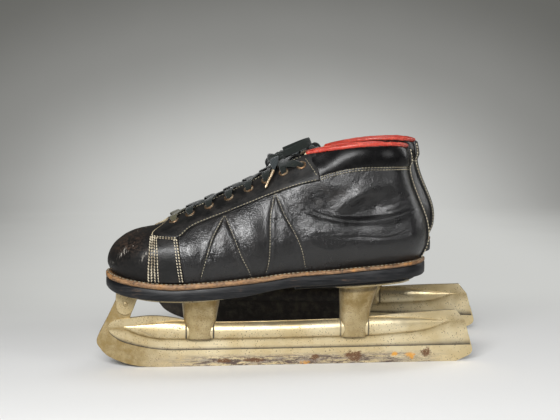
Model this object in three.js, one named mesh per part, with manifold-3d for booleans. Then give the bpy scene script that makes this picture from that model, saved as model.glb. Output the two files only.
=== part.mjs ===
// A pair of leather lace-up speed skates. Each boot is riveted to a steel frame: two sole plates, two hollow
// cups and a sheet-metal tube that grips a thin straight runner. Millimetres, +Z up, toes towards -X.
// The origin is on the ice, below the middle of the pair. The left skate is on the -Y side.
import * as THREE from "three";
import { mergeVertices } from "three/addons/utils/BufferGeometryUtils.js";
import Module from "manifold-3d";

const wasm = await Module();
wasm.setup();
const { Vector2, Vector3 } = THREE;

// ---- Driving dimensions -------------------------------------------------------------------------------
const RUNNER_LENGTH = 356; // a 14 inch runner
const RUNNER_THICKNESS = 2;
const TOE_OUT = THREE.MathUtils.degToRad(14); // the right skate's toe is turned out from the left one's
const REAR_SPACING = 142; // between the two runners' rear ends
const STAGGER = 40; // the right runner ends this far behind the left one
const GAP = 0.3; // between flat pieces that touch
const LIFT = 0.8; // between curved layers, whose facets differ
const SHEET = 0.9; // wall of the tube and of the cups
const TUBE_RADIUS = 8;
const LEATHER = 2.6; // quarter leather and its lining together
const OVERLAY = 1.6; // leather sewn on top of the quarters
const WELT_PROJECTION = 5; // the sole's edge stands out this far from the upper
const EYELETS = 8; // in each eyestay
const EYELET_RADIUS = 4;
const LACE_RADIUS = 1.5;
const PLATE = 1.6; // sole plate thickness

// ---- Curves -------------------------------------------------------------------------------------------
// A smooth curve through evenly numbered values, at t = 0 .. values.length - 1.
function spline(values, t) {
  const last = values.length - 1;
  const i = Math.min(Math.max(Math.floor(t), 0), last - 1);
  const f = t - i;
  const b = values[i];
  const c = values[i + 1];
  const a = i > 0 ? values[i - 1] : 2 * b - c;
  const d = i < last - 1 ? values[i + 2] : 2 * c - b;
  return b + 0.5 * f * (c - a + f * (2 * a - 5 * b + 4 * c - d + f * (3 * (b - c) + d - a)));
}

// A smooth height over x, through points [x, height] with x increasing; it is level beyond both ends.
function profile(points) {
  const slopes = points.map((p, i) => {
    const before = points[Math.max(i - 1, 0)];
    const after = points[Math.min(i + 1, points.length - 1)];
    return (after[1] - before[1]) / (after[0] - before[0]);
  });
  return (x) => {
    if (x <= points[0][0]) return points[0][1];
    const k = points.findIndex((p) => p[0] >= x);
    if (k < 0) return points.at(-1)[1];
    const [x0, y0] = points[k - 1];
    const [x1, y1] = points[k];
    const h = x1 - x0;
    const f = (x - x0) / h;
    const g = 1 - f;
    return y0 * g * g * (1 + 2 * f) + y1 * f * f * (3 - 2 * f)
      + h * f * g * (slopes[k - 1] * g - slopes[k] * f);
  };
}

const mix = (a, b, f) => a + (b - a) * f;

// ---- Solids -------------------------------------------------------------------------------------------
function facingOut(geometry) {
  const p = geometry.getAttribute("position");
  const index = geometry.index;
  const [a, b, c] = [new Vector3(), new Vector3(), new Vector3()];
  let volume = 0;
  for (let i = 0; i < index.count; i += 3) {
    a.fromBufferAttribute(p, index.getX(i));
    b.fromBufferAttribute(p, index.getX(i + 1));
    c.fromBufferAttribute(p, index.getX(i + 2));
    volume += a.dot(b.cross(c));
  }
  if (volume < 0) index.array.reverse();
  return geometry;
}

function geometryOf(points, triangles) {
  const geometry = new THREE.BufferGeometry().setFromPoints(points).setIndex(triangles);
  return facingOut(mergeVertices(geometry, 1e-4));
}

// A closed sheet between two surfaces, front(i, j) and back(i, j), with rows 0 .. rows and columns
// 0 .. columns. Where row 0 is folded onto itself, its two halves meet, and it needs no edge there.
function sheet(front, back, rows, columns, folded = false) {
  const points = [];
  const triangles = [];
  for (const surface of [front, back]) {
    for (let i = 0; i <= rows; i++) {
      for (let j = 0; j <= columns; j++) points.push(surface(i, j));
    }
  }
  const half = (rows + 1) * (columns + 1);
  const at = (i, j, side) => side * half + i * (columns + 1) + j;
  const quad = (a, b, c, d) => triangles.push(a, b, c, a, c, d);
  for (let i = 0; i < rows; i++) {
    for (let j = 0; j < columns; j++) {
      quad(at(i, j, 0), at(i + 1, j, 0), at(i + 1, j + 1, 0), at(i, j + 1, 0));
      quad(at(i, j, 1), at(i, j + 1, 1), at(i + 1, j + 1, 1), at(i + 1, j, 1));
    }
  }
  for (let i = 0; i < rows; i++) {
    quad(at(i, 0, 1), at(i + 1, 0, 1), at(i + 1, 0, 0), at(i, 0, 0));
    quad(at(i, columns, 0), at(i + 1, columns, 0), at(i + 1, columns, 1), at(i, columns, 1));
  }
  for (let j = 0; j < columns; j++) {
    if (!folded) quad(at(0, j, 0), at(0, j + 1, 0), at(0, j + 1, 1), at(0, j, 1));
    quad(at(rows, j, 1), at(rows, j + 1, 1), at(rows, j + 1, 0), at(rows, j, 0));
  }
  return geometryOf(points, triangles);
}

// A closed solid through rings of points, each ring with the same number of points.
function loft(rings) {
  const sides = rings[0].length;
  const points = rings.flat();
  const triangles = [];
  for (let i = 0; i + 1 < rings.length; i++) {
    for (let j = 0; j < sides; j++) {
      const a = i * sides + j;
      const b = i * sides + ((j + 1) % sides);
      triangles.push(a, b, b + sides, a, b + sides, a + sides);
    }
  }
  const end = (rings.length - 1) * sides;
  for (let j = 1; j + 1 < sides; j++) triangles.push(0, j + 1, j, end, end + j, end + j + 1);
  return geometryOf(points, triangles);
}

// A round cord along points, with one ring of corners at each point.
function cord(points, radius, sides = 5) {
  let across = new Vector3(0, 1, 0.1).normalize();
  return loft(points.map((p, i) => {
    const along = points[Math.min(i + 1, points.length - 1)].clone()
      .sub(points[Math.max(i - 1, 0)]).normalize();
    across = across.addScaledVector(along, -across.dot(along)).normalize();
    const up = along.clone().cross(across);
    return Array.from({ length: sides }, (_, k) => {
      const turn = (2 * Math.PI * k) / sides;
      const rim = across.clone().multiplyScalar(Math.cos(turn)).addScaledVector(up, Math.sin(turn));
      return p.clone().addScaledVector(rim, radius);
    });
  }));
}

// A flat outline in the XZ plane, given thickness across Y and centred on y.
function flatSteel(outline, thickness, y = 0) {
  const shape = new THREE.Shape(outline);
  const geometry = new THREE.ExtrudeGeometry(shape, { depth: thickness, bevelEnabled: false });
  geometry.rotateX(Math.PI / 2);
  geometry.translate(0, y + thickness / 2, 0);
  return geometry;
}

// manifold-3d joins and cuts closed geometries.
function solid(geometry) {
  const bare = geometry.clone();
  bare.deleteAttribute("normal");
  bare.deleteAttribute("uv");
  const merged = mergeVertices(bare, 1e-4);
  return new wasm.Manifold(new wasm.Mesh({
    numProp: 3,
    vertProperties: merged.getAttribute("position").array,
    triVerts: new Uint32Array(merged.index.array),
  }));
}

function geometryFrom(manifold) {
  const mesh = manifold.getMesh();
  return new THREE.BufferGeometry()
    .setAttribute("position", new THREE.BufferAttribute(mesh.vertProperties, 3))
    .setIndex(new THREE.BufferAttribute(mesh.triVerts, 1));
}

// ---- Steel frame --------------------------------------------------------------------------------------
// x runs from the runner's front tip, z from the ice, and y from the runner's middle.
const STEM_FRONT = 19.5; // the stem's front edge where it meets the toe plate
const STEM_BACK = 39;
const FLAT_FROM = 58; // the runner's straight running edge
const FLAT_TO = 340;

const soleBottom = profile([[9, 79], [22, 74.6], [40, 71.8], [63, 70.3], [95, 70.6], [135, 73],
  [158, 77.2], [178, 79.8], [216, 81], [248, 82.8], [285, 85.2], [309, 87]]);
const soleTop = profile([[9, 87.5], [35, 83.2], [69, 80.3], [95, 81.4], [149, 85.4], [182, 89.6],
  [216, 91], [249, 93.8], [309, 98.5]]);
const weltTop = profile([[9, 93], [35, 88], [69, 85.2], [95, 86.2], [145, 89.6], [177, 92.8],
  [216, 94.6], [249, 97.2], [309, 102]]);

function runner() {
  const top = soleBottom(STEM_BACK) - LIFT - PLATE - 2 * GAP;
  const shape = new THREE.Shape();
  shape.moveTo(FLAT_TO, 0);
  shape.lineTo(347, 2.8);
  shape.lineTo(353.6, 6.2);
  shape.lineTo(RUNNER_LENGTH, 10.5);
  shape.lineTo(354.6, 17);
  shape.lineTo(352, 26);
  shape.lineTo(46, 26);
  shape.quadraticCurveTo(31, 29, 30, 47);
  shape.lineTo(STEM_BACK - 1, top);
  shape.lineTo(STEM_FRONT, top);
  shape.lineTo(1, 32);
  shape.bezierCurveTo(-2.5, 24, 6, 11, 22, 5.5);
  shape.quadraticCurveTo(38, 0.4, FLAT_FROM, 0);
  return flatSteel(shape.getPoints(6), RUNNER_THICKNESS);
}

// The tube's outer half-width at height share 0 .. 1 (flange foot .. top) and station x.
const FLANGE = RUNNER_THICKNESS / 2 + GAP + SHEET;
const flangeFoot = profile([[10.5, 36], [12, 33], [15, 30], [23, 25], [38, 20.5], [53, 17.5], [72, 16],
  [352, 16]]);
const tubeTop = profile([[10.5, 40.5], [12, 43], [18, 45.8], [31, 47.4], [51, 48.8], [72, 46.6], [92, 42.4],
  [225, 43], [255, 45], [286, 47.4], [313, 49], [340, 50.3]]);
const creaseLow = profile([[24, 37], [40, 30.5], [60, 26.6], [250, 26.4], [285, 28.4], [310, 31], [332, 38]]);
const creaseHigh = profile([[24, 39], [49, 42], [72, 44], [92, 42.2], [225, 42.8], [260, 44.4], [300, 43],
  [332, 39.4]]);
const bulge = profile([[24, FLANGE], [50, 5], [85, TUBE_RADIUS], [270, TUBE_RADIUS], [305, 5.4],
  [332, FLANGE]]);
const finHalf = profile([[60, FLANGE], [90, 1], [230, 1], [275, FLANGE]]);
const rearEnd = profile([[16, 353.6], [26, 351.6], [35, 349.2], [42, 346.9], [48, 343], [50.3, 339]]);
const TUBE_ROWS = 8; // points up each side of the tube's section

function tubeHalfSection(x, extra = 0) {
  const low = creaseLow(x);
  const high = Math.min(creaseHigh(x), tubeTop(x) - 0.3);
  const points = [new Vector2(FLANGE + extra, flangeFoot(x) - extra)];
  for (let k = 0; k <= TUBE_ROWS - 3; k++) {
    const turn = (Math.PI * k) / (TUBE_ROWS - 3);
    const f = 0.5 - 0.5 * Math.cos(turn);
    const base = mix(FLANGE, finHalf(x), f);
    points.push(new Vector2(mix(base, bulge(x), Math.sin(turn)) + extra, mix(low, high, f)));
  }
  points.push(new Vector2(finHalf(x) + extra, tubeTop(x) + extra));
  return points;
}

const TUBE_STATIONS = [10.5, 12.5, 18, 27, 40, 54, 70, 84, 97, 112, 225, 245, 262, 288, 312, 328, 341];

function bladeTube() {
  const stations = TUBE_STATIONS;
  const columns = 2 * TUBE_ROWS - 1;
  // Around the section from one flange foot, over the top, to the other.
  const around = (x, j, inset) => {
    const half = tubeHalfSection(x);
    const k = j < TUBE_ROWS ? j : columns - j;
    const p = half[k];
    const side = j < TUBE_ROWS ? -1 : 1;
    const y = Math.max(p.x - inset, 0.35);
    return new Vector3(x, side * y, Math.min(p.y, tubeTop(x) - inset));
  };
  // The rear end leans: its foot runs on to the runner's end while its rounded top stops short.
  const lean = (p, i) => (i === stations.length - 1 ? p.setX(rearEnd(p.z)) : p);
  const folded = sheet(
    (i, j) => lean(around(stations[i], j, 0), i),
    (i, j) => lean(around(stations[i], j, SHEET), i),
    stations.length - 1,
    columns,
  );
  // The stem stands up between the tube's two walls, so the fold is open there.
  const slot = new THREE.BoxGeometry(STEM_BACK - 4, RUNNER_THICKNESS + 2 * GAP, 30);
  slot.translate((STEM_BACK - 4) / 2 + 6, 0, 40);
  return geometryFrom(solid(folded).subtract(solid(slot)));
}

// The space that the tube takes up, for the cups to be cut by.
function tubeClearance(middle) {
  const stations = TUBE_STATIONS.filter((x) => Math.abs(x - middle) < 32);
  const halves = stations.map((x) => tubeHalfSection(x, GAP));
  const place = (i, j, side) => {
    const p = halves[i][j];
    return new Vector3(stations[i], side * p.x, j ? p.y : p.y - 30);
  };
  const left = (i, j) => place(i, j, -1);
  const right = (i, j) => place(i, j, 1);
  return solid(sheet(left, right, stations.length - 1, TUBE_ROWS - 1));
}

// One ring of a cup: an ellipse whose height z(x) follows what it meets.
function ellipse(x, z, a, b, sides = 14) {
  return Array.from({ length: sides }, (_, k) => {
    const turn = (2 * Math.PI * (k + 0.5)) / sides;
    const at = x + a * Math.cos(turn);
    return new Vector3(at, b * Math.sin(turn), z(at));
  });
}

// A hollow cup whose rim meets the underside plate(x). Its rings are [x, z, half-length, half-width], from
// the rim down to the skirt that hugs the tube.
function cup(plate, rings) {
  const height = (z, i, rise) => (x) => (i ? z : plate(x) - GAP + rise);
  const ring = (rise, wall) => ([x, z, a, b], i) => ellipse(x, height(z, i, rise), a - wall, b - wall);
  const outer = rings.map(ring(0, 0));
  const inner = rings.slice(0, -2).map(ring(2, SHEET));
  const clearance = tubeClearance(rings.at(-1)[0]);
  return geometryFrom(solid(loft(outer)).subtract(solid(loft(inner))).subtract(clearance));
}

const frontPlateUnderside = (x) => soleBottom(x) - LIFT - PLATE;
const heelPlateUnderside = (x) => heelLiftBottom(x) - LIFT - PLATE;
const FRONT_CUP = [[97, 69, 18.4, 18], [97, 57, 16.6, 14.5], [96, 46, 14.4, 11.2], [95.5, 39, 13.8, 9.4],
  [95, 27, 11.4, 9.2]];
const REAR_CUP = [[245, 76, 18.4, 18], [243.5, 66, 17.2, 15], [242, 51, 14.4, 11.6], [241, 40, 14.2, 9.4],
  [240, 26.4, 11.8, 9.2]];

// A plate under the sole: outline gives [x, half-width] along the skate.
function solePlate(outline, top) {
  const halfWidth = (x) => profile(outline)(x);
  const first = outline[0][0];
  const last = outline.at(-1)[0];
  const rows = 8;
  const xAt = (i) => mix(first, last, i / rows);
  const place = (i, j, z) => new Vector3(xAt(i), mix(-1, 1, j / 4) * halfWidth(xAt(i)), z(xAt(i)));
  return sheet((i, j) => place(i, j, top), (i, j) => place(i, j, (x) => top(x) - PLATE), rows, 4);
}

function frontPlate() {
  const top = (x) => soleBottom(x) - LIFT;
  const outline = [[17, 10], [32, 25], [55, 37], [80, 41], [105, 39], [128, 27], [142, 12]];
  const plate = solid(solePlate(outline, top));
  const tab = new THREE.Shape();
  tab.moveTo(18, top(20) - 0.6);
  tab.lineTo(17.6, 58);
  tab.absarc(26, 58.6, 8.2, Math.PI, 2 * Math.PI - 0.35, false);
  tab.lineTo(38, 67);
  tab.lineTo(38.5, top(38) - 0.6);
  const y = RUNNER_THICKNESS / 2 + GAP + PLATE / 2;
  const tabs = [-y, y].map((at) => solid(flatSteel(tab.getPoints(5), PLATE, at)));
  return geometryFrom(plate.add(tabs[0]).add(tabs[1]));
}

function heelPlate() {
  const outline = [[222, 19], [232, 23], [262, 24.5], [282, 20], [292, 10]];
  return solePlate(outline, (x) => heelLiftBottom(x) - LIFT);
}

// ---- Boot ---------------------------------------------------------------------------------------------
// The upper's outside, one side: at each station from the toe round to the heel, five points from the
// feather edge on the welt up to the throat or collar edge, as [x, half-width, z]. The medial side is the
// same with its half-widths times medial.
const UPPER = [
  { medial: 1.0, rows: [[14, 0, 93], [10.8, 0, 101], [12.3, 0, 110], [18, 0, 119], [27, 0, 126]] },
  { medial: 0.97, rows: [[16.5, 15, 92.2], [13.8, 17, 101], [16, 16, 111.5], [23, 11, 121], [33.5, 0, 129.2]] },
  { medial: 0.94, rows: [[25, 28, 90.4], [23, 31, 101], [25.5, 30, 113], [31.5, 20.5, 124], [41, 0, 131.6]] },
  { medial: 0.92, rows: [[41, 37.5, 87.4], [40, 41.5, 101], [41.5, 40, 115], [44.5, 28, 127.5], [50, 0, 133]] },
  { medial: 0.9, rows: [[60, 42.5, 85.8], [59.5, 46, 101], [60, 44, 117.5], [60.5, 31.5, 130], [61, 9, 135.5]] },
  { medial: 0.89, rows: [[82, 44.8, 85.8], [82, 47.6, 102], [82, 45, 121], [82, 32.5, 136.5], [82, 10, 145.5]] },
  { medial: 0.87, rows: [[110, 44, 87.4], [110, 47, 105], [110, 44.5, 127], [110, 33, 146.5], [110, 11, 158.2]] },
  { medial: 0.86, rows: [[140, 40.5, 89.4], [140, 44, 108], [140, 42.5, 134], [140, 33, 158], [140, 12, 172.2]] },
  { medial: 0.86, rows: [[172, 36, 92.4], [170, 40, 111], [168, 40, 139], [166, 33.5, 168.5], [167, 13, 186.8]] },
  { medial: 0.88, rows: [[204, 32.5, 94.2], [202, 37.5, 112], [198, 38.5, 141], [194, 34.5, 177], [193, 17, 198.5]] },
  { medial: 0.92, rows: [[238, 31, 96.4], [239, 37, 114], [236, 37.5, 141], [232, 34, 182], [230, 31, 205.8]] },
  { medial: 0.97, rows: [[270, 30, 99], [275, 34, 115.5], [274, 34, 139], [265, 31.5, 180], [262, 30.5, 208]] },
  { medial: 1.0, rows: [[293, 20, 100.8], [299, 23, 116.5], [298, 22.5, 137], [285, 21, 177], [281, 20, 207]] },
  { medial: 1.0, rows: [[303, 0, 101.6], [309.2, 0, 117], [307.8, 0, 137.5], [293.5, 0, 174.5], [288.5, 0, 205]] },
];
const TOE_END = 4; // the toe cap's last station
const COLLAR_START = 9;
const HEEL = UPPER.length - 1;
const TOP = 4; // the last row, at the throat or collar edge
const SEAM = 3.05; // the row where the eyestay and the collar are sewn on
const EYELET_ROW = 3.56;
const LATERAL = -1;
const MEDIAL = 1;

const column = (side, row, k) => (station) => {
  const value = station.rows[row][k];
  return k === 1 ? side * value * (side === MEDIAL ? station.medial : 1) : value;
};

// A point of the upper at station s and row t, both with fractions.
function upperPoint(side, s, t) {
  const at = [0, 1, 2].map((k) =>
    spline([0, 1, 2, 3, 4].map((row) => spline(UPPER.map(column(side, row, k)), s)), t));
  return new Vector3(...at);
}

function upperNormal(side, s, t) {
  const e = 0.04;
  const [s0, s1] = [Math.max(s - e, 0), Math.min(s + e, HEEL)];
  const [t0, t1] = [Math.max(t - e, 0), Math.min(t + e, TOP)];
  const along = upperPoint(side, s1, t).sub(upperPoint(side, s0, t));
  const up = upperPoint(side, s, t1).sub(upperPoint(side, s, t0));
  if (s > HEEL - e || s < e) along.set(0, along.y, 0); // level across the heel's and toe's middle line
  return along.cross(up).multiplyScalar(-side).normalize();
}

const onUpper = (side, s, t, out) => upperPoint(side, s, t).addScaledVector(upperNormal(side, s, t), out);

// The parameter s in -HEEL .. HEEL runs from the lateral throat round the heel (0) to the medial throat.
const roundHeel = (q, t, out) => onUpper(q < 0 ? LATERAL : MEDIAL, HEEL - Math.abs(q), t, out);

// A piece of the upper's skin between two offsets. at(i, j) gives its place as [s, t].
function skin(side, at, rows, columns, inner, outer) {
  const place = (i, j, out) => {
    const [s, t] = at(i / rows, j / columns);
    return onUpper(side, s, t, out);
  };
  return sheet((i, j) => place(i, j, outer), (i, j) => place(i, j, inner), rows, columns);
}

const FOOT = 0.03; // the skin starts just above the welt

// The toe cap goes over the top from one feather edge to the other.
function toeCap() {
  const columns = 12;
  const rows = 7;
  const place = (i, j, out) => {
    const s = mix(0, TOE_END - 0.02, i / rows);
    const across = mix(-TOP + FOOT, TOP - FOOT, j / columns);
    const side = across < 0 ? LATERAL : MEDIAL;
    const t = TOP - Math.abs(across);
    const middle = Math.abs(across) < 0.01;
    const p = upperPoint(side, s, t);
    if (middle) p.y = 0;
    const n = middle ? new Vector3(-0.3, 0, 1).normalize() : upperNormal(side, s, t);
    return p.addScaledVector(n, out);
  };
  return sheet((i, j) => place(i, j, 0), (i, j) => place(i, j, -LEATHER), rows, columns, true);
}

function quarter(side) {
  const at = (a, b) => {
    const s = mix(TOE_END + 0.03, HEEL - 0.03, a);
    return [s, mix(FOOT, SEAM + 0.25, b)];
  };
  return skin(side, at, 14, 5, -LEATHER, 0);
}

function eyestay(side) {
  const at = (a, b) => {
    const s = mix(TOE_END + 0.05, COLLAR_START + 0.1, a);
    return [s, mix(SEAM, TOP, b)];
  };
  const plain = solid(skin(side, at, 10, 2, LIFT, LIFT + OVERLAY));
  const holes = eyeletPlaces(side).map(({ place, normal }) => {
    const drill = new THREE.CylinderGeometry(EYELET_RADIUS, EYELET_RADIUS, 12, 6);
    drill.applyQuaternion(new THREE.Quaternion().setFromUnitVectors(new Vector3(0, 1, 0), normal));
    drill.translate(place.x, place.y, place.z);
    return solid(drill);
  });
  return geometryFrom(holes.reduce((left, hole) => left.subtract(hole), plain));
}

function eyeletPlaces(side) {
  return Array.from({ length: EYELETS }, (_, k) => {
    const s = mix(TOE_END + 0.62, COLLAR_START - 0.16, k / (EYELETS - 1));
    const place = onUpper(side, s, EYELET_ROW, LIFT + OVERLAY / 2);
    return { s, place, normal: upperNormal(side, s, EYELET_ROW) };
  });
}

function toeStrap(side) {
  const at = (a, b) => [mix(TOE_END - 0.35, TOE_END + 0.9, a), mix(0.16, SEAM - 0.2, b)];
  return skin(side, at, 4, 6, LIFT, LIFT + OVERLAY);
}

function collar() {
  const rows = 18;
  const columns = 5;
  const swell = [0.15, 0.8, 1, 1, 0.8, 0.1];
  const place = (i, j, out) => {
    const reach = HEEL - COLLAR_START - 0.2;
    const q = mix(-reach, reach, i / rows);
    return roundHeel(q, mix(SEAM + 0.3, TOP - 0.06, j / columns), out);
  };
  const outer = (i, j) => place(i, j, 0.4 + 2.2 * swell[j]);
  const inner = (i, j) => place(i, j, -1.2 - 3.4 * swell[j]);
  return sheet(outer, inner, rows, columns);
}

function collarBinding() {
  const rows = 22;
  const reach = HEEL - COLLAR_START - 0.2;
  return cord(Array.from({ length: rows + 1 }, (_, i) => {
    const p = roundHeel(mix(-reach, reach, i / rows), TOP, 0);
    return p.add(new Vector3(0, 0, 2.1));
  }), 1.7, 6);
}

function backstay() {
  const place = (i, j, out) => roundHeel(mix(-0.42, 0.42, i / 4), mix(FOOT + 0.04, SEAM + 0.2, j / 7), out);
  return sheet((i, j) => place(i, j, LIFT + OVERLAY), (i, j) => place(i, j, LIFT), 4, 7);
}

function heelCounter() {
  const inside = -LEATHER - 1.6;
  const place = (i, j, out) => roundHeel(mix(-2.6, 2.6, i / 10), mix(0.3, 1.7, j / 3), out);
  return sheet((i, j) => place(i, j, inside - 0.3), (i, j) => place(i, j, inside - 2.1), 10, 3);
}

// The sole's edge, seen from above, stands out from the feather edge by out.
function solePoint(side, s, out) {
  const p = upperPoint(side, s, 0);
  const n = upperNormal(side, s, 0.4);
  const flat = new Vector2(n.x, n.y).normalize().multiplyScalar(out);
  return new Vector2(p.x + flat.x, p.y + flat.y);
}

// Stations of the sole's outline, closer together at its round ends.
const SOLE_ROWS = 18;
const soleStation = (i) => {
  const even = i / SOLE_ROWS;
  return HEEL * mix(even, 0.5 - 0.5 * Math.cos(Math.PI * even), 0.5);
};

// A slab of the sole: its outline stands out by out, and its faces follow the heights top(x) and bottom(x).
function soleSlab(out, top, bottom, from = 0) {
  const first = Math.ceil(from * SOLE_ROWS);
  const place = (i, j, z) => {
    const s = soleStation(i + first);
    const middle = solePoint(LATERAL, s, out).add(solePoint(MEDIAL, s, out)).multiplyScalar(0.5);
    const edge = [solePoint(LATERAL, s, out), middle, solePoint(MEDIAL, s, out)][j];
    return new Vector3(edge.x, edge.y, z(edge.x));
  };
  return sheet((i, j) => place(i, j, top), (i, j) => place(i, j, bottom), SOLE_ROWS - first, 2);
}

const HEEL_LIFT = 3;
const heelLiftBottom = (x) => soleBottom(x) - GAP - HEEL_LIFT;

function heelLift() {
  return soleSlab(WELT_PROJECTION - 9, (x) => soleBottom(x) - GAP, heelLiftBottom, 0.62);
}

function welt() {
  const rows = SOLE_ROWS;
  const around = (i, out) => {
    const k = i % (2 * rows);
    const s = soleStation(k <= rows ? k : 2 * rows - k);
    return solePoint(k <= rows ? LATERAL : MEDIAL, s, out);
  };
  const ring = (out, z) => Array.from({ length: 2 * rows }, (_, i) => {
    const p = around(i, out);
    return new Vector3(p.x, p.y, z(p.x));
  });
  const body = solid(ringBlock(ring(WELT_PROJECTION, weltTop), ring(WELT_PROJECTION, soleTop)));
  const hole = solid(ringBlock(ring(-9, (x) => weltTop(x) + 5), ring(-9, (x) => soleTop(x) - 5)));
  return geometryFrom(body.subtract(hole));
}

// A block between two closed outlines whose points pair up across the middle line.
function ringBlock(upper, lower) {
  const n = upper.length / 2;
  const place = (i, j, ring) => (j === 0 ? ring[i] : ring[(2 * n - i) % (2 * n)]);
  return sheet((i, j) => place(i, j, upper), (i, j) => place(i, j, lower), n, 1);
}

function insole() {
  return soleSlab(-3.4, (x) => weltTop(x) + 3.6, (x) => weltTop(x) + GAP);
}

// The tongue lies under both eyestays. Its half-width grows towards the ankle.
const tongueRidge = (s) => upperPoint(LATERAL, s, TOP).add(upperPoint(MEDIAL, s, TOP)).multiplyScalar(0.5);

function tongue() {
  const rows = 9;
  const columns = 6;
  const place = (i, j, depth) => {
    const s = mix(TOE_END + 0.2, COLLAR_START + 0.15, i / rows);
    const across = mix(-1, 1, j / columns) * mix(14, 23, i / rows);
    const ridge = tongueRidge(s);
    return new Vector3(ridge.x, ridge.y + across, ridge.z - 4.6 - depth - 0.018 * across * across);
  };
  return sheet((i, j) => place(i, j, 0), (i, j) => place(i, j, 3), rows, columns);
}

// ---- Lace ---------------------------------------------------------------------------------------------
const KNOT_STATION = 8.05; // above the sixth and seventh eyelets
const KNOT_RADIUS = 5;
const knotPlace = () => tongueRidge(KNOT_STATION).add(new Vector3(0, 0, 7.8));

// Half of the lace, from under its first eyelet up to the knot. It comes out of an eyelet, goes over the
// eyestay's edge, crosses the tongue, and goes under the other eyestay to that side's next eyelet.
function laceHalf(firstSide, rise) {
  const over = LIFT + OVERLAY + LACE_RADIUS + 0.7;
  const under = -LACE_RADIUS - 0.9;
  const station = eyeletPlaces(firstSide).map(({ s }) => s);
  const last = EYELETS - 1;
  const points = [];
  let side = firstSide;
  for (let k = 0; k <= last; k++) {
    points.push(onUpper(side, station[k], EYELET_ROW, under), onUpper(side, station[k], EYELET_ROW, over));
    points.push(onUpper(side, station[k], TOP, over));
    if (k < last) {
      const crossing = tongueRidge((station[k] + station[k + 1]) / 2);
      crossing.z += rise;
      points.push(crossing, onUpper(-side, station[k + 1], TOP, under));
      side = -side;
    }
  }
  points.push(knotPlace().add(new Vector3(4, side * (KNOT_RADIUS + LACE_RADIUS + 0.6), -1)));
  return points;
}

function lace() {
  const down = laceHalf(LATERAL, 1.4).reverse();
  const up = laceHalf(MEDIAL, -2.4);
  const { s } = eyeletPlaces(LATERAL)[0];
  const bar = [LATERAL, 0, MEDIAL].map((side) => {
    const low = new Vector3(0, 0, -2.5);
    return side ? onUpper(side, s, TOP, 0).add(low) : tongueRidge(s).add(low);
  });
  return cord([...down, ...bar, ...up], LACE_RADIUS);
}

function knot() {
  const geometry = new THREE.SphereGeometry(KNOT_RADIUS, 8, 6);
  geometry.scale(1.15, 1, 0.8);
  const { x, y, z } = knotPlace();
  geometry.translate(x, y, z);
  return geometry;
}

const fromKnot = (list) => list.map(([x, y, z]) => knotPlace().add(new Vector3(x, y, z)));

function slackLace(list, steps) {
  const line = new THREE.CatmullRomCurve3(fromKnot(list));
  return cord(line.getSpacedPoints(steps), LACE_RADIUS);
}

// The bow's loops and free ends, as points from the knot's middle. The left skate's lateral loop stands up
// and back; the other three hang over the sides of the boot.
const STANDING_LOOP = [[3, -6.6, 3.4], [12, -11, 7.5], [23, -12.5, 13], [29.5, -9, 16], [24, -5.5, 14.5],
  [13, -5, 10.5], [5, -3, 7.5]];
const HANGING_LOOP = [[3, 6.6, 3.4], [8, 14, 6], [12, 22, 3], [13, 31, -6], [8, 33, -8], [3, 24, 0],
  [0, 14, 3.4], [-1, 7, 4]];
const LOOPS = {
  left: { lateral: STANDING_LOOP, medial: HANGING_LOOP },
  right: { lateral: HANGING_LOOP.map(([x, y, z]) => [x, -y, z]), medial: HANGING_LOOP },
};
const ENDS = {
  lateral: [[-3, -6.9, 0.5], [-4, -14, 1], [-5, -20, -3.5], [-5.5, -25, -9]],
  medial: [[-3, 6.9, 0.5], [-5, 16, 1], [-7, 24, -4.5], [-8, 31, -12]],
};
const AGLET_LENGTH = 19;

function aglet(side) {
  const list = fromKnot(ENDS[side]);
  const tip = list.at(-1);
  const direction = new Vector3(-0.42, side === "lateral" ? -0.36 : 0.4, -0.8).normalize();
  const start = tip.clone().addScaledVector(direction, 0.5);
  return cord([start, start.clone().addScaledVector(direction, AGLET_LENGTH)], 1.2, 6);
}

// ---- Assembly -----------------------------------------------------------------------------------------
const FINISH = {
  plating: new THREE.MeshStandardMaterial({ color: 0xc2b083, roughness: 0.42, metalness: 0.9 }),
  blackLeather: new THREE.MeshStandardMaterial({ color: 0x1b1a1b, roughness: 0.42, metalness: 0 }),
  soleEdge: new THREE.MeshStandardMaterial({ color: 0x161719, roughness: 0.6, metalness: 0 }),
  weltLeather: new THREE.MeshStandardMaterial({ color: 0x8a5a2c, roughness: 0.7, metalness: 0 }),
  insoleLeather: new THREE.MeshStandardMaterial({ color: 0x7b5a3c, roughness: 0.8, metalness: 0 }),
  redBinding: new THREE.MeshStandardMaterial({ color: 0xb5342c, roughness: 0.5, metalness: 0 }),
  laceCotton: new THREE.MeshStandardMaterial({ color: 0x20241f, roughness: 0.9, metalness: 0 }),
  agletBrass: new THREE.MeshStandardMaterial({ color: 0xb99a63, roughness: 0.35, metalness: 1 }),
};

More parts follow.
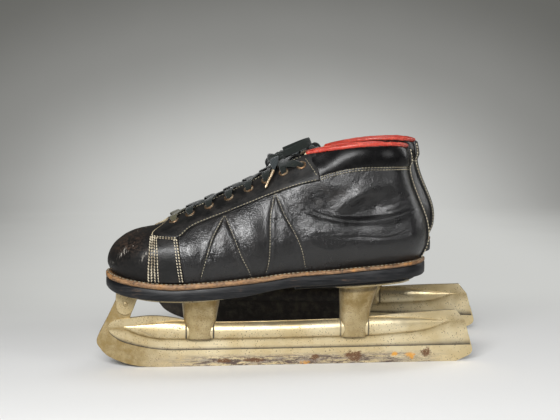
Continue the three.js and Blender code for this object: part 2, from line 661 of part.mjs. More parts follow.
const PIECES = [
  ["runner", runner, "plating"],
  ["blade_tube", bladeTube, "plating"],
  ["front_cup", () => cup(frontPlateUnderside, FRONT_CUP), "plating"],
  ["rear_cup", () => cup(heelPlateUnderside, REAR_CUP), "plating"],
  ["front_sole_plate", frontPlate, "plating"],
  ["heel_plate", heelPlate, "plating"],
  ["heel_lift", heelLift, "soleEdge"],
  ["outsole", () => soleSlab(WELT_PROJECTION, (x) => soleTop(x) - GAP, soleBottom), "soleEdge"],
  ["welt", welt, "weltLeather"],
  ["insole", insole, "insoleLeather"],
  ["toe_cap", toeCap, "blackLeather"],
  ["lateral_quarter", () => quarter(LATERAL), "blackLeather"],
  ["medial_quarter", () => quarter(MEDIAL), "blackLeather"],
  ["lateral_eyestay", () => eyestay(LATERAL), "blackLeather"],
  ["medial_eyestay", () => eyestay(MEDIAL), "blackLeather"],
  ["lateral_toe_strap", () => toeStrap(LATERAL), "blackLeather"],
  ["medial_toe_strap", () => toeStrap(MEDIAL), "blackLeather"],
  ["collar", collar, "blackLeather"],
  ["collar_binding", collarBinding, "redBinding"],
  ["backstay", backstay, "blackLeather"],
  ["heel_counter", heelCounter, "insoleLeather"],
  ["tongue", tongue, "blackLeather"],
  ["lace", lace, "laceCotton"],
  ["lace_knot", knot, "laceCotton"],
  ["lateral_lace_loop", (name) => slackLace(LOOPS[name].lateral, 12), "laceCotton"],
  ["medial_lace_loop", (name) => slackLace(LOOPS[name].medial, 12), "laceCotton"],
  ["lateral_lace_end", () => slackLace(ENDS.lateral, 5), "laceCotton"],
  ["medial_lace_end", () => slackLace(ENDS.medial, 5), "laceCotton"],
  ["lateral_aglet", () => aglet("lateral"), "agletBrass"],
  ["medial_aglet", () => aglet("medial"), "agletBrass"],
];

// The left skate as built; the right one is its mirror image.
function skate(name, mirrored) {
  const group = new THREE.Group();
  for (const [piece, make, finish] of PIECES) {
    const mesh = new THREE.Mesh(make(name), FINISH[finish]);
    mesh.name = name + "_" + piece;
    group.add(mesh);
  }
  group.scale.y = mirrored ? -1 : 1;
  return group;
}

const pair = new THREE.Group();
const left = skate("left", false);
const right = skate("right", true);
right.rotation.z = -TOE_OUT;
right.position.set(RUNNER_LENGTH + STAGGER, REAR_SPACING, 0);
right.position.sub(new Vector3(RUNNER_LENGTH, 0, 0).applyEuler(right.rotation));
const both = new THREE.Group().add(left, right);
const box = new THREE.Box3().setFromObject(both, true);
both.position.set(-(box.min.x + box.max.x) / 2, -(box.min.y + box.max.y) / 2, -box.min.z);
pair.add(both);

export default pair;
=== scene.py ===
"""A pair of leather lace-up speed skates: black boots riveted to plated steel frames with straight runners.

Lengths are millimetres in each skate's own frame, as in part.mjs: x runs from the runner's front tip towards
the heel, z up from the ice, and the lateral side is at -y. The right skate is the left one mirrored.
"""
import math

import bmesh
import bpy
import numpy as np
from mathutils import Matrix, Vector


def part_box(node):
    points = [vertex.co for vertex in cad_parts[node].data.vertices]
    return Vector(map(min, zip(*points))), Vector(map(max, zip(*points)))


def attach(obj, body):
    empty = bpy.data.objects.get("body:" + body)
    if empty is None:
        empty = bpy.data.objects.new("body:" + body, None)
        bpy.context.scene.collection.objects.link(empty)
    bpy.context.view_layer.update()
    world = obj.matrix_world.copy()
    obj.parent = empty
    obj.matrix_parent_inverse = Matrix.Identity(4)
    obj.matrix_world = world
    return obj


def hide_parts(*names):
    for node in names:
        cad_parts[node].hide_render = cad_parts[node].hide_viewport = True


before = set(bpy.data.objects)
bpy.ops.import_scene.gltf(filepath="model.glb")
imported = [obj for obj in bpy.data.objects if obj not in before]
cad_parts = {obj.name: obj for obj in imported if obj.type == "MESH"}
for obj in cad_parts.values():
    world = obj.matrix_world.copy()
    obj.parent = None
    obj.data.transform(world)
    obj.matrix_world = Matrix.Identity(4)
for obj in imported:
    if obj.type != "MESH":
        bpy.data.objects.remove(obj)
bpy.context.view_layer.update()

# ---- Dimensions shared with part.mjs ----------------------------------------
MM = 0.001
RUNNER_LENGTH = 356.0
RUNNER_HALF = 1.0
TOE_OUT = math.radians(14)
GAP, LIFT, SHEET, PLATE = 0.3, 0.8, 0.9, 1.6
LEATHER, OVERLAY, WELT_PROJECTION = 2.6, 1.6, 5.0
HEEL_LIFT = 3.0
STEM_FRONT, STEM_BACK = 19.5, 39.0
RELIEF_LOW, RELIEF_HIGH = -6.5, 4.5  # how far the upper's folds may go in and out
FLANGE = RUNNER_HALF + GAP + SHEET
TOE_END, COLLAR_START, HEEL, TOP = 4.0, 9.0, 13.0, 4.0
EYELET_ROW = 3.56
EYELET_STATIONS = np.linspace(TOE_END + 0.62, COLLAR_START - 0.16, 8)
LATERAL, MEDIAL = -1, 1
SIDES = {"lateral": LATERAL, "medial": MEDIAL}

# The upper's outside: station by station from the toe to the heel, five points from the feather edge to the
# throat, as (x, half-width, z). The medial half-widths are narrower by the station's factor.
UPPER = np.array([
    [[14, 0, 93], [10.8, 0, 101], [12.3, 0, 110], [18, 0, 119], [27, 0, 126]],
    [[16.5, 15, 92.2], [13.8, 17, 101], [16, 16, 111.5], [23, 11, 121], [33.5, 0, 129.2]],
    [[25, 28, 90.4], [23, 31, 101], [25.5, 30, 113], [31.5, 20.5, 124], [41, 0, 131.6]],
    [[41, 37.5, 87.4], [40, 41.5, 101], [41.5, 40, 115], [44.5, 28, 127.5], [50, 0, 133]],
    [[60, 42.5, 85.8], [59.5, 46, 101], [60, 44, 117.5], [60.5, 31.5, 130], [61, 9, 135.5]],
    [[82, 44.8, 85.8], [82, 47.6, 102], [82, 45, 121], [82, 32.5, 136.5], [82, 10, 145.5]],
    [[110, 44, 87.4], [110, 47, 105], [110, 44.5, 127], [110, 33, 146.5], [110, 11, 158.2]],
    [[140, 40.5, 89.4], [140, 44, 108], [140, 42.5, 134], [140, 33, 158], [140, 12, 172.2]],
    [[172, 36, 92.4], [170, 40, 111], [168, 40, 139], [166, 33.5, 168.5], [167, 13, 186.8]],
    [[204, 32.5, 94.2], [202, 37.5, 112], [198, 38.5, 141], [194, 34.5, 177], [193, 17, 198.5]],
    [[238, 31, 96.4], [239, 37, 114], [236, 37.5, 141], [232, 34, 182], [230, 31, 205.8]],
    [[270, 30, 99], [275, 34, 115.5], [274, 34, 139], [265, 31.5, 180], [262, 30.5, 208]],
    [[293, 20, 100.8], [299, 23, 116.5], [298, 22.5, 137], [285, 21, 177], [281, 20, 207]],
    [[303, 0, 101.6], [309.2, 0, 117], [307.8, 0, 137.5], [293.5, 0, 174.5], [288.5, 0, 205]],
], float)
MEDIAL_WIDTH = np.array([1.0, 0.97, 0.94, 0.92, 0.9, 0.89, 0.87, 0.86, 0.86, 0.88, 0.92, 0.97, 1.0, 1.0])


# ---- Curves and surfaces ----------------------------------------------------
def mix(a, b, f):
    return a + (b - a) * f


def smooth(a, b, x):
    """0 below a, 1 above b, and a smooth step between them."""
    f = np.clip((x - a) / (b - a), 0, 1)
    return f * f * (3 - 2 * f)


def unit(v):
    return v / np.maximum(np.linalg.norm(v, axis=-1, keepdims=True), 1e-9)


def profile(points):
    """A smooth height over x through the points, level beyond both ends."""
    xs, ys = np.array(points, float).T
    before = np.maximum(np.arange(len(xs)) - 1, 0)
    after = np.minimum(np.arange(len(xs)) + 1, len(xs) - 1)
    slopes = (ys[after] - ys[before]) / (xs[after] - xs[before])

    def height(x):
        x = np.clip(x, xs[0], xs[-1])
        k = np.clip(np.searchsorted(xs, x), 1, len(xs) - 1)
        h = xs[k] - xs[k - 1]
        f = (x - xs[k - 1]) / h
        g = 1 - f
        level = ys[k - 1] * g * g * (1 + 2 * f) + ys[k] * f * f * (3 - 2 * f)
        return level + h * f * g * (slopes[k - 1] * g - slopes[k] * f)

    return height


def spline_weights(count, t):
    """Catmull-Rom weights of count values, for a curve from value 1 to value count - 2."""
    i = np.clip(np.floor(t).astype(int), 0, count - 4)
    f = t - i
    terms = [
        0.5 * (-f + 2 * f**2 - f**3),
        1 + 0.5 * (-5 * f**2 + 3 * f**3),
        0.5 * (f + 4 * f**2 - 3 * f**3),
        0.5 * (f**3 - f**2),
    ]
    weights = np.zeros((len(t), count))
    for k, term in enumerate(terms):
        np.add.at(weights, (np.arange(len(t)), i + k), term)
    return weights


def distances_along(points):
    """How far along a line each of its points is."""
    return np.concatenate([[0], np.cumsum(np.linalg.norm(np.diff(points, axis=0), axis=1))])


def curve(points, steps):
    """A smooth line through the points, at steps + 1 places evenly spaced along it."""
    points = np.array(points, float)
    ends = np.vstack([2 * points[0] - points[1], points, 2 * points[-1] - points[-2]])
    fine = spline_weights(len(ends), np.linspace(0, len(points) - 1, 40 * len(points))) @ ends
    along = distances_along(fine)
    wanted = np.linspace(0, along[-1], steps + 1)
    return np.stack([np.interp(wanted, along, fine[:, k]) for k in range(points.shape[1])], 1)


def upper_table(side):
    """The upper's points on one side, with a mirrored or extended station and row at each end."""
    table = UPPER.copy()
    table[:, :, 1] *= side * (MEDIAL_WIDTH[:, None] if side == MEDIAL else 1)
    across = np.array([1, -1, 1])
    table = np.concatenate([table[1:2] * across, table, table[-2:-1] * across])
    over = 2 * table[:, -1:] - table[:, -2:-1]
    closed = np.abs(table[:, -1, 1]) < 1e-9
    closed[-3:] = False
    over[closed] = (table[:, -2:-1] * across)[closed]
    return np.concatenate([2 * table[:, :1] - table[:, 1:2], table, over], axis=1)


TABLES = {side: upper_table(side) for side in (LATERAL, MEDIAL)}


def upper_points(side, s, t):
    rows = spline_weights(UPPER.shape[0] + 2, s)
    columns = spline_weights(UPPER.shape[1] + 2, t)
    return np.einsum("ni,nj,ijk->nk", rows, columns, TABLES[side])


def upper_frame(side, s, t):
    """Points of the upper on one side, and the normals there, for arrays s and t of the same shape."""
    s, t = np.broadcast_arrays(np.asarray(s, float), np.asarray(t, float))
    shape = s.shape
    s, t = s.ravel(), t.ravel()
    e = 0.04
    s0, s1 = np.maximum(s - e, 0), np.minimum(s + e, HEEL)
    t0, t1 = np.maximum(t - e, 0), np.minimum(t + e, TOP)
    along = upper_points(side, s1, t) - upper_points(side, s0, t)
    up = upper_points(side, s, t1) - upper_points(side, s, t0)
    level = (s > HEEL - e) | (s < e)
    along[level, 0] = 0
    along[level, 2] = 0
    normals = unit(np.cross(along, up) * -side)
    return upper_points(side, s, t).reshape(shape + (3,)), normals.reshape(shape + (3,))


def raised(points, normals, out):
    """Points moved out along their normals."""
    return points + normals * np.asarray(out, float)[..., None]


def on_upper(side, s, t, out=0.0):
    return raised(*upper_frame(side, s, t), out)


def round_heel_frame(q, t):
    """As upper_frame, with q from the lateral throat round the heel, where it is 0, to the medial throat."""
    q, t = np.broadcast_arrays(np.asarray(q, float), np.asarray(t, float))
    lateral = upper_frame(LATERAL, HEEL - np.abs(q), t)
    medial = upper_frame(MEDIAL, HEEL - np.abs(q), t)
    return [np.where((q < 0)[..., None], a, b) for a, b in zip(lateral, medial)]


def round_heel(q, t, out=0.0):
    return raised(*round_heel_frame(q, t), out)


def ridge(s):
    """The middle of the throat, between the two eyestays' edges."""
    s = np.atleast_1d(np.asarray(s, float))
    top = np.full_like(s, TOP)
    return (upper_points(LATERAL, s, top) + upper_points(MEDIAL, s, top)) / 2


def scatter(i, j, k, seed):
    value = np.sin(i * 127.1 + j * 311.7 + k * 74.7 + seed * 53.3) * 43758.5453
    return value - np.floor(value)


def lumps(points, size, seed):
    """Smooth seeded noise from -1 to 1 in space, with lumps of about that size."""
    p = np.asarray(points, float) / size
    cell = np.floor(p)
    f = p - cell
    f = f * f * (3 - 2 * f)
    total = 0
    for corner in range(8):
        step = np.array([corner & 1, (corner >> 1) & 1, corner >> 2])
        weight = np.prod(np.where(step, f, 1 - f), axis=-1)
        total = total + weight * scatter(*np.moveaxis(cell + step, -1, 0), seed)
    return 2 * total - 1


# ---- The two skates ---------------------------------------------------------
class Skate:
    """One skate: where it stands, whether it is mirrored, and what differs between the two."""

    def __init__(self, name, flip, seed, medial_bead, matrix):
        self.name = name
        self.medial_bead = medial_bead
        self.flip = flip
        self.seed = seed
        self.matrix = matrix

    def to_row(self, points):
        """Points of the skate's frame in the row's frame, in metres."""
        flipped = np.asarray(points, float) * (MM, MM * self.flip, MM)
        return [list(self.matrix @ Vector(p)) for p in flipped]


def make_skates():
    """Both skates, each standing where its CAD runner is: the right one is mirrored and turned toe out."""
    low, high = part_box("left_runner")
    place = Vector((high.x - RUNNER_LENGTH * MM, (low.y + high.y) / 2, low.z))
    left = Skate("left", 1, 3, 0.62, Matrix.Translation(place))
    low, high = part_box("right_runner")
    across = RUNNER_HALF * MM
    heel = Vector((high.x - math.sin(TOE_OUT) * across, low.y + math.cos(TOE_OUT) * across, low.z))
    turn = Matrix.Rotation(-TOE_OUT, 4, "Z")
    place = heel - turn @ Vector((RUNNER_LENGTH * MM, 0, 0))
    right = Skate("right", -1, 8, 1.0, Matrix.Translation(place) @ turn)
    return [left, right]


# ---- Camera -----------------------------------------------------------------
CAMERA_LENS = 69.75
CAMERA_PLACE = (81, -1005, 244)
CAMERA_TURN = math.radians(5.1)
CAMERA_TILT = math.radians(5.5)


def make_camera(skate):
    data = bpy.data.cameras.new("camera")
    data.lens = CAMERA_LENS
    data.sensor_width = 36
    data.clip_start = 0.05
    camera = bpy.data.objects.new("camera", data)
    camera.location = skate.to_row([CAMERA_PLACE])[0]
    camera.rotation_euler = (math.pi / 2 - CAMERA_TILT, 0, -CAMERA_TURN)
    bpy.context.scene.collection.objects.link(camera)
    bpy.context.scene.camera = camera


# ---- Forms: points, faces and per-point values in the skate's frame ---------
class Form:
    def __init__(self, points, faces, **values):
        self.points = np.asarray(points, float).reshape(-1, 3)
        self.faces = [tuple(int(i) for i in face) for face in faces]
        self.values = {key: np.asarray(value, float) for key, value in values.items()}


def joined(forms):
    """One form from several that carry the same values."""
    faces = []
    start = 0
    for form in forms:
        faces += [tuple(i + start for i in face) for face in form.faces]
        start += len(form.points)
    values = {key: np.concatenate([form.values[key] for form in forms]) for key in forms[0].values}
    return Form(np.concatenate([form.points for form in forms]), faces, **values)


def shell(outer, inner, keep=None, **values):
    """A closed sheet between two grids of points. keep says which of the grid's squares it has."""
    rows, columns = outer.shape[0] - 1, outer.shape[1] - 1
    if keep is None:
        keep = np.ones((rows, columns), bool)
    index = np.arange(outer.shape[0] * outer.shape[1]).reshape(outer.shape[:2])
    a, b, c, d = index[:-1, :-1], index[1:, :-1], index[1:, 1:], index[:-1, 1:]
    under = index.size
    faces = [np.stack([a, b, c, d], -1)[keep], np.stack([a, d, c, b], -1)[keep] + under]
    around = np.pad(keep, 1)
    for i, j, p, q in ((-1, 0, d, a), (1, 0, b, c), (0, -1, a, b), (0, 1, c, d)):
        edge = keep & ~around[1 + i : rows + 1 + i, 1 + j : columns + 1 + j]
        faces.append(np.stack([q, p, p + under, q + under], -1)[edge])
    points = np.concatenate([outer.reshape(-1, 3), inner.reshape(-1, 3)])
    doubled = {key: np.tile(np.asarray(value, float).ravel(), 2) for key, value in values.items()}
    return Form(points, np.concatenate(faces), **doubled)


def loft(rings, caps=True, **values):
    """A form through rings of points, closed by a face at each end."""
    rings = np.asarray(rings, float)
    count, sides = rings.shape[:2]
    index = np.arange(count * sides).reshape(count, sides)
    turned = np.roll(index, -1, axis=1)
    faces = np.stack([index[:-1], turned[:-1], turned[1:], index[1:]], -1).reshape(-1, 4).tolist()
    if caps:
        faces += [index[0][::-1].tolist(), index[-1].tolist()]
    return Form(rings, faces, **values)


def squarish(turn, squareness):
    """The angles' cosines and sines, pushed out towards a square where squareness is below 1."""
    return [np.sign(w) * np.abs(w) ** squareness for w in (np.cos(turn), np.sin(turn))]


def sweep(points, across, width, height, sides=12, squareness=1.0):
    """A band or cord along points: across is its width's direction, and width and height its half-sizes."""
    points = np.asarray(points, float)
    count = len(points)
    tangent = unit(np.gradient(points, axis=0))
    across = np.broadcast_to(np.asarray(across, float), points.shape)
    across = unit(across - tangent * np.sum(across * tangent, axis=1, keepdims=True))
    up = np.cross(tangent, across)
    flat, tall = squarish(2 * math.pi * np.arange(sides) / sides, squareness)
    width = np.broadcast_to(width, count)[:, None, None]
    height = np.broadcast_to(height, count)[:, None, None]
    rings = points[:, None] + across[:, None] * width * flat[None, :, None]
    rings = rings + up[:, None] * height * tall[None, :, None]
    along = np.repeat(distances_along(points), sides)
    side = (width[:, :, 0] * flat[None, :]).ravel()
    return loft(rings, along=along, side=side)


def turned_rings(middle, axis, start, shape, sides):
    """Rings about an axis, one for each (radius, height) of the shape. They start square to start."""
    axis = unit(np.asarray(axis, float))
    first = unit(np.cross(axis, start))
    second = np.cross(axis, first)
    turn = 2 * math.pi * np.arange(sides) / sides
    spoke = np.cos(turn)[:, None] * first + np.sin(turn)[:, None] * second
    return np.array([middle + axis * height + spoke * radius for radius, height in shape])


def lathe(middle, axis, shape, sides):
    """A ring turned about an axis, from (radius, height) points that close on themselves."""
    rings = turned_rings(middle, axis, [0.3, 0.2, 0.9], shape, sides)
    count = len(shape)
    index = np.arange(count * sides).reshape(count, sides)
    over, turned = np.roll(index, -1, axis=0), np.roll(index, -1, axis=1)
    both = np.roll(turned, -1, axis=0)
    return Form(rings, np.stack([index, turned, both, over], -1).reshape(-1, 4))


DOME = [(1, -0.4), (1, 0), (0.93, 0.42), (0.7, 0.8), (0.35, 0.97)]


def dome(middle, axis, radius, height):
    """A closed rivet head."""
    shape = [(radius * r, height * z) for r, z in DOME]
    return loft(turned_rings(middle, axis, [0.3, 0.9, 0.2], shape, 14))


def build(skate, name, form, material, replaces=(), body=None, angle=42):
    """The object for a form: it rides on the skate's body, and stands for those CAD nodes of the skate."""
    used, faces = np.unique(np.concatenate([np.array(face) for face in form.faces]), return_inverse=True)
    sizes = [len(face) for face in form.faces]
    faces = np.split(faces.ravel(), np.cumsum(sizes)[:-1])
    data = bpy.data.meshes.new(name)
    places = form.points[used] * (MM, MM * skate.flip, MM)
    data.from_pydata(places.tolist(), [], [face.tolist() for face in faces])
    for key, values in form.values.items():
        data.attributes.new(key, "FLOAT", "POINT").data.foreach_set("value", values[used].astype(np.float32))
    mesh = bmesh.new()
    mesh.from_mesh(data)
    bmesh.ops.remove_doubles(mesh, verts=mesh.verts, dist=0.004 * MM)
    bmesh.ops.triangulate(mesh, faces=[f for f in mesh.faces if len(f.verts) > 4])
    bmesh.ops.recalc_face_normals(mesh, faces=mesh.faces)
    mesh.to_mesh(data)
    mesh.free()
    data.polygons.foreach_set("use_smooth", [True] * len(data.polygons))
    data.set_sharp_from_angle(angle=math.radians(angle))
    data.materials.append(material)
    thing = bpy.data.objects.new(f"{skate.name}_{name}_visual", data)
    bpy.context.scene.collection.objects.link(thing)
    thing.matrix_world = skate.matrix
    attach(thing, body or f"{skate.name}_skate")
    if replaces:
        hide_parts(*[f"{skate.name}_{node}" for node in replaces])
    return thing


# ---- Materials --------------------------------------------------------------
class Shader:
    """A material whose nodes are added one after another. Each method returns the new node's output."""

    def __init__(self, name, **sockets):
        self.material = bpy.data.materials.new(name)
        self.material.use_nodes = True
        self.tree = self.material.node_tree
        self.surface = self.tree.nodes["Principled BSDF"]
        self.place = self.tree.nodes.new("ShaderNodeTexCoord").outputs["Object"]
        for socket, value in sockets.items():
            self.set(socket.replace("_", " "), value)

    def set(self, socket, value):
        self.join(self.surface.inputs[socket], value)

    def join(self, socket, value):
        if isinstance(value, bpy.types.NodeSocket):
            self.tree.links.new(value, socket)
        else:
            socket.default_value = value

    def node(self, kind, inputs=(), **settings):
        node = self.tree.nodes.new("ShaderNode" + kind)
        for key, value in settings.items():
            setattr(node, key, value)
        for key, value in dict(inputs).items():
            self.join(node.inputs[key], value)
        return node

    def scaled(self, scale, turn=(0, 0, 0)):
        return self.node("Mapping", {"Vector": self.place, "Scale": scale, "Rotation": turn}).outputs[0]

    def noise(self, scale, detail=3.0, roughness=0.55, place=None, distortion=0.0):
        inputs = {"Vector": place or self.place, "Scale": scale, "Detail": detail, "Roughness": roughness}
        inputs["Distortion"] = distortion
        return self.node("TexNoise", inputs).outputs["Fac"]

    def cells(self, scale, feature="F1", place=None):
        inputs = {"Vector": place or self.place, "Scale": scale}
        return self.node("TexVoronoi", inputs, feature=feature).outputs["Distance"]

    def value(self, name):
        return self.node("Attribute", attribute_name=name).outputs["Fac"]

    def maths(self, operation, a, b=0.0):
        return self.node("Math", {0: a, 1: b}, operation=operation).outputs[0]

    def times(self, a, b):
        return self.maths("MULTIPLY", a, b)

    def plus(self, a, b):
        return self.maths("ADD", a, b)

    def most(self, a, b):
        return self.maths("MAXIMUM", a, b)

    def step(self, value, low, high):
        """0 where value is below low, 1 above high; the other way round where low is the larger."""
        inputs = {"Value": value, "From Min": low, "From Max": high}
        return self.node("MapRange", inputs, interpolation_type="SMOOTHSTEP", clamp=True).outputs[0]

    def range(self, value, low, high):
        return self.node("MapRange", {"Value": value, "To Min": low, "To Max": high}).outputs[0]

    def blend(self, factor, a, b):
        node = self.node("Mix", {0: factor}, data_type="RGBA")
        for index, colour in ((6, a), (7, b)):
            value = (*colour, 1) if isinstance(colour, tuple) else colour
            self.join(node.inputs[index], value)
        return node.outputs[2]

    def bump(self, height, depth, normal=None):
        inputs = {"Height": height, "Distance": depth * MM}
        if normal is not None:
            inputs["Normal"] = normal
        return self.node("Bump", inputs).outputs[0]


def leather(name, dark, worn, rough, grain, creases, gloss):
    """Black leather: pebbled grain, fine creases where the mesh says so, and worn, paler high places."""
    m = Shader(name, Specular_IOR_Level=gloss)
    broad = m.noise(28, 4, 0.6)
    patch = m.noise(95, 4, 0.65)
    pebbles = m.cells(500, "DISTANCE_TO_EDGE", m.scaled((1, 1, 1.25), (0, 0.35, 0)))
    fine = m.noise(2300, 2, 0.6)
    folds = m.noise(200, 4, 0.6, m.scaled((0.55, 1, 1.7), (0, 0.62, 0)), distortion=0.4)
    cross = m.noise(430, 4, 0.6, m.scaled((1.7, 1, 0.6), (0, 0.4, 0)), distortion=0.8)
    rub = m.times(m.value("rub"), m.step(patch, 0.42, 0.66))
    colour = m.blend(m.step(broad, 0.35, 0.75), dark, tuple(1.9 * c for c in dark))
    colour = m.blend(m.times(rub, 0.85), colour, worn)
    m.set("Base Color", colour)
    uneven = m.range(m.step(patch, 0.3, 0.72), rough - 0.02, rough + 0.05)
    m.set("Roughness", m.plus(uneven, m.times(rub, 0.2)))
    normal = m.bump(m.step(pebbles, 0.0, 0.3), grain)
    normal = m.bump(fine, grain * 0.1, normal)
    both = m.plus(m.times(folds, 0.6), m.times(cross, 0.5))
    m.set("Normal", m.bump(m.times(both, m.value("creases")), creases * 1.5, normal))
    return m.material


def toe_leather():
    """Scuffed toe leather: brown rubbed patches, small white scratches and a dull surface."""
    m = Shader("toe_leather", Specular_IOR_Level=0.24)
    broad = m.noise(46, 5, 0.65)
    fine = m.noise(420, 4, 0.7)
    rub = m.times(m.value("rub"), m.step(broad, 0.36, 0.6))
    colour = m.blend(m.step(fine, 0.4, 0.75), (0.005, 0.0047, 0.0045), (0.012, 0.0108, 0.0098))
    colour = m.blend(m.times(rub, m.step(fine, 0.42, 0.7)), colour, (0.07, 0.042, 0.028))
    long = m.scaled((2.2, 1, 0.6), (0, 0.75, 0))
    scratch = m.times(m.value("scratch"), m.step(m.noise(300, 5, 0.75, long), 0.52, 0.6))
    nicks = m.times(m.step(m.cells(150), 0.1, 0.05), m.step(broad, 0.5, 0.56))
    pale = m.most(scratch, m.times(nicks, m.value("rub")))
    m.set("Base Color", m.blend(pale, colour, (0.42, 0.39, 0.34)))
    m.set("Roughness", m.range(m.step(fine, 0.3, 0.7), 0.40, 0.62))
    grain = m.bump(m.noise(1500, 3, 0.6), 0.008)
    worn = m.bump(fine, 0.05, grain)
    m.set("Normal", m.bump(m.maths("SUBTRACT", 1.0, pale), 0.1, worn))
    return m.material


# Rust and stains low on the runner, as (x, z, half-length, half-height), in millimetres.
BROWN_RUST = [(242, 7, 7.5, 5), (204, 6.6, 3.6, 3), (311, 9.3, 5, 4.5), (146, 5, 9, 2.2), (118, 5, 6, 2)]
ORANGE_RUST = [(195, 1.8, 4.6, 1.6), (280, 8.4, 2.6, 2.8), (296, 6.6, 4.2, 2.8), (273, 16.6, 4, 1.2)]


def near_spots(m, spots, ragged):
    """1 within any of the spots, on both faces of the blade, with ragged edges."""
    wobble = m.times(m.maths("SUBTRACT", ragged, 0.5), 4.2)
    total = None
    for x, z, length, height in spots:
        moved = m.node("VectorMath", {0: m.place, 1: (x * MM, 0, z * MM)}, operation="SUBTRACT").outputs[0]
        size = (1 / (length * MM), 0, 1 / (height * MM))
        scaled = m.node("VectorMath", {0: moved, 1: size}, operation="MULTIPLY").outputs[0]
        far = m.node("VectorMath", {0: scaled}, operation="LENGTH").outputs["Value"]
        spot = m.step(m.plus(far, wobble), 1.2, 0.7)
        total = spot if total is None else m.most(total, spot)
    return total


# Plate colours. The stain colour is also painted shade on the cups, and the black dirt colour is also painted
# shade on the frame's shaded parts.
PLATE_DULL, PLATE_BRIGHT = (0.64, 0.515, 0.29), (0.80, 0.695, 0.465)
TARNISH, PITTED, STAINED_AND_SHADED = (0.46, 0.33, 0.16), (0.075, 0.04, 0.022), (0.27, 0.19, 0.075)
BARE_STEEL, SOOTY = (0.30, 0.265, 0.24), (0.07, 0.045, 0.035)
BROWN, ORANGE, BLACK_DIRT_AND_SHADE = (0.10, 0.040, 0.010), (0.52, 0.24, 0.022), (0.014, 0.010, 0.007)


def plated_steel(name, low_wear):
    """Old cream-gold nickel plate: pits, tarnish, seam dirt and painted shade, and rust where low_wear is
    set.
    """
    m = Shader(name, Metallic=0.72)
    broad = m.noise(30, 4, 0.6)
    cloud = m.noise(110, 5, 0.7)
    fine = m.noise(900, 3, 0.7)
    colour = m.blend(m.step(broad, 0.3, 0.72), PLATE_DULL, PLATE_BRIGHT)
    colour = m.blend(m.times(m.step(cloud, 0.5, 0.74), 0.4), colour, TARNISH)
    some = m.step(m.noise(60, 3, 0.6), 0.5, 0.62)
    pits = m.times(m.step(m.cells(330), 0.27, 0.13), some)
    old = m.plus(cloud, m.times(m.value("stain"), 0.16))
    specks = m.times(m.step(m.cells(540), 0.33, 0.14), m.step(old, 0.46, 0.58))
    dark = m.most(pits, specks)
    # Seam dirt and painted shade from the mesh's values, blended to near-black below.
    dirt = m.times(m.value("dirt"), m.range(m.step(cloud, 0.3, 0.6), 0.94, 1.0))
    colour = m.blend(m.times(dark, 0.85), colour, PITTED)
    # Tarnish stains from the mesh's values, and on the cups painted shade.
    stain = m.times(m.value("stain"), m.range(m.step(cloud, 0.3, 0.66), 0.6, 1.0))
    colour = m.blend(stain, colour, STAINED_AND_SHADED)
    shine = m.most(dirt, dark)
    if low_wear:
        spot = m.node("SeparateXYZ", {0: m.place}).outputs
        scrape = m.noise(260, 6, 0.85, m.scaled((0.16, 1, 1.4)))
        band = m.times(m.step(spot["Z"], 0.0125, 0.006), m.step(spot["X"], 0.035, 0.11))
        band = m.times(band, m.step(spot["X"], 0.345, 0.27))
        grey = m.times(band, m.step(scrape, 0.44, 0.56))
        colour = m.blend(m.times(grey, 0.8), colour, BARE_STEEL)
        soot = m.times(band, m.step(m.noise(300, 6, 0.85, m.scaled((0.22, 1, 1.2))), 0.47, 0.55))
        colour = m.blend(soot, colour, SOOTY)
        brown = near_spots(m, BROWN_RUST, m.noise(260, 6, 0.85, m.scaled((0.6, 1, 1))))
        colour = m.blend(m.times(brown, m.step(fine, 0.25, 0.5)), colour, BROWN)
        orange = near_spots(m, ORANGE_RUST, m.noise(190, 6, 0.8))
        colour = m.blend(m.times(orange, m.step(cloud, 0.3, 0.55)), colour, ORANGE)
        rust = m.most(orange, m.most(brown, soot))
        shine = m.most(shine, rust)
    m.set("Base Color", m.blend(dirt, colour, BLACK_DIRT_AND_SHADE))
    m.set("Metallic", m.range(shine, 0.85, 0.05))
    rough = m.range(m.step(cloud, 0.3, 0.7), 0.33, 0.47)
    m.set("Roughness", m.plus(rough, m.times(shine, 0.3)))
    brushed = m.noise(420, 3, 0.7, m.scaled((0.12, 1, 1.6)))
    normal = m.bump(brushed, 0.02)
    normal = m.bump(m.maths("SUBTRACT", 1.0, dark), 0.08, normal)
    m.set("Normal", m.bump(cloud, 0.05, normal))
    return m.material


def sole_edge():
    """Blackened sole leather: satin, with fine scrapes along it and brown rubbed places."""
    m = Shader("sole_edge", Specular_IOR_Level=0.28)
    scrapes = m.noise(240, 5, 0.75, m.scaled((0.18, 0.18, 2.0)))
    broad = m.noise(55, 4, 0.6)
    colour = m.blend(m.step(scrapes, 0.42, 0.7), (0.0045, 0.005, 0.006), (0.018, 0.018, 0.019))
    rubbed = m.times(m.step(broad, 0.56, 0.72), m.step(scrapes, 0.5, 0.66))
    m.set("Base Color", m.blend(rubbed, colour, (0.09, 0.055, 0.034)))
    m.set("Roughness", m.range(m.step(scrapes, 0.35, 0.7), 0.36, 0.58))
    m.set("Normal", m.bump(m.noise(700, 3, 0.7), 0.02, m.bump(scrapes, 0.12)))
    return m.material


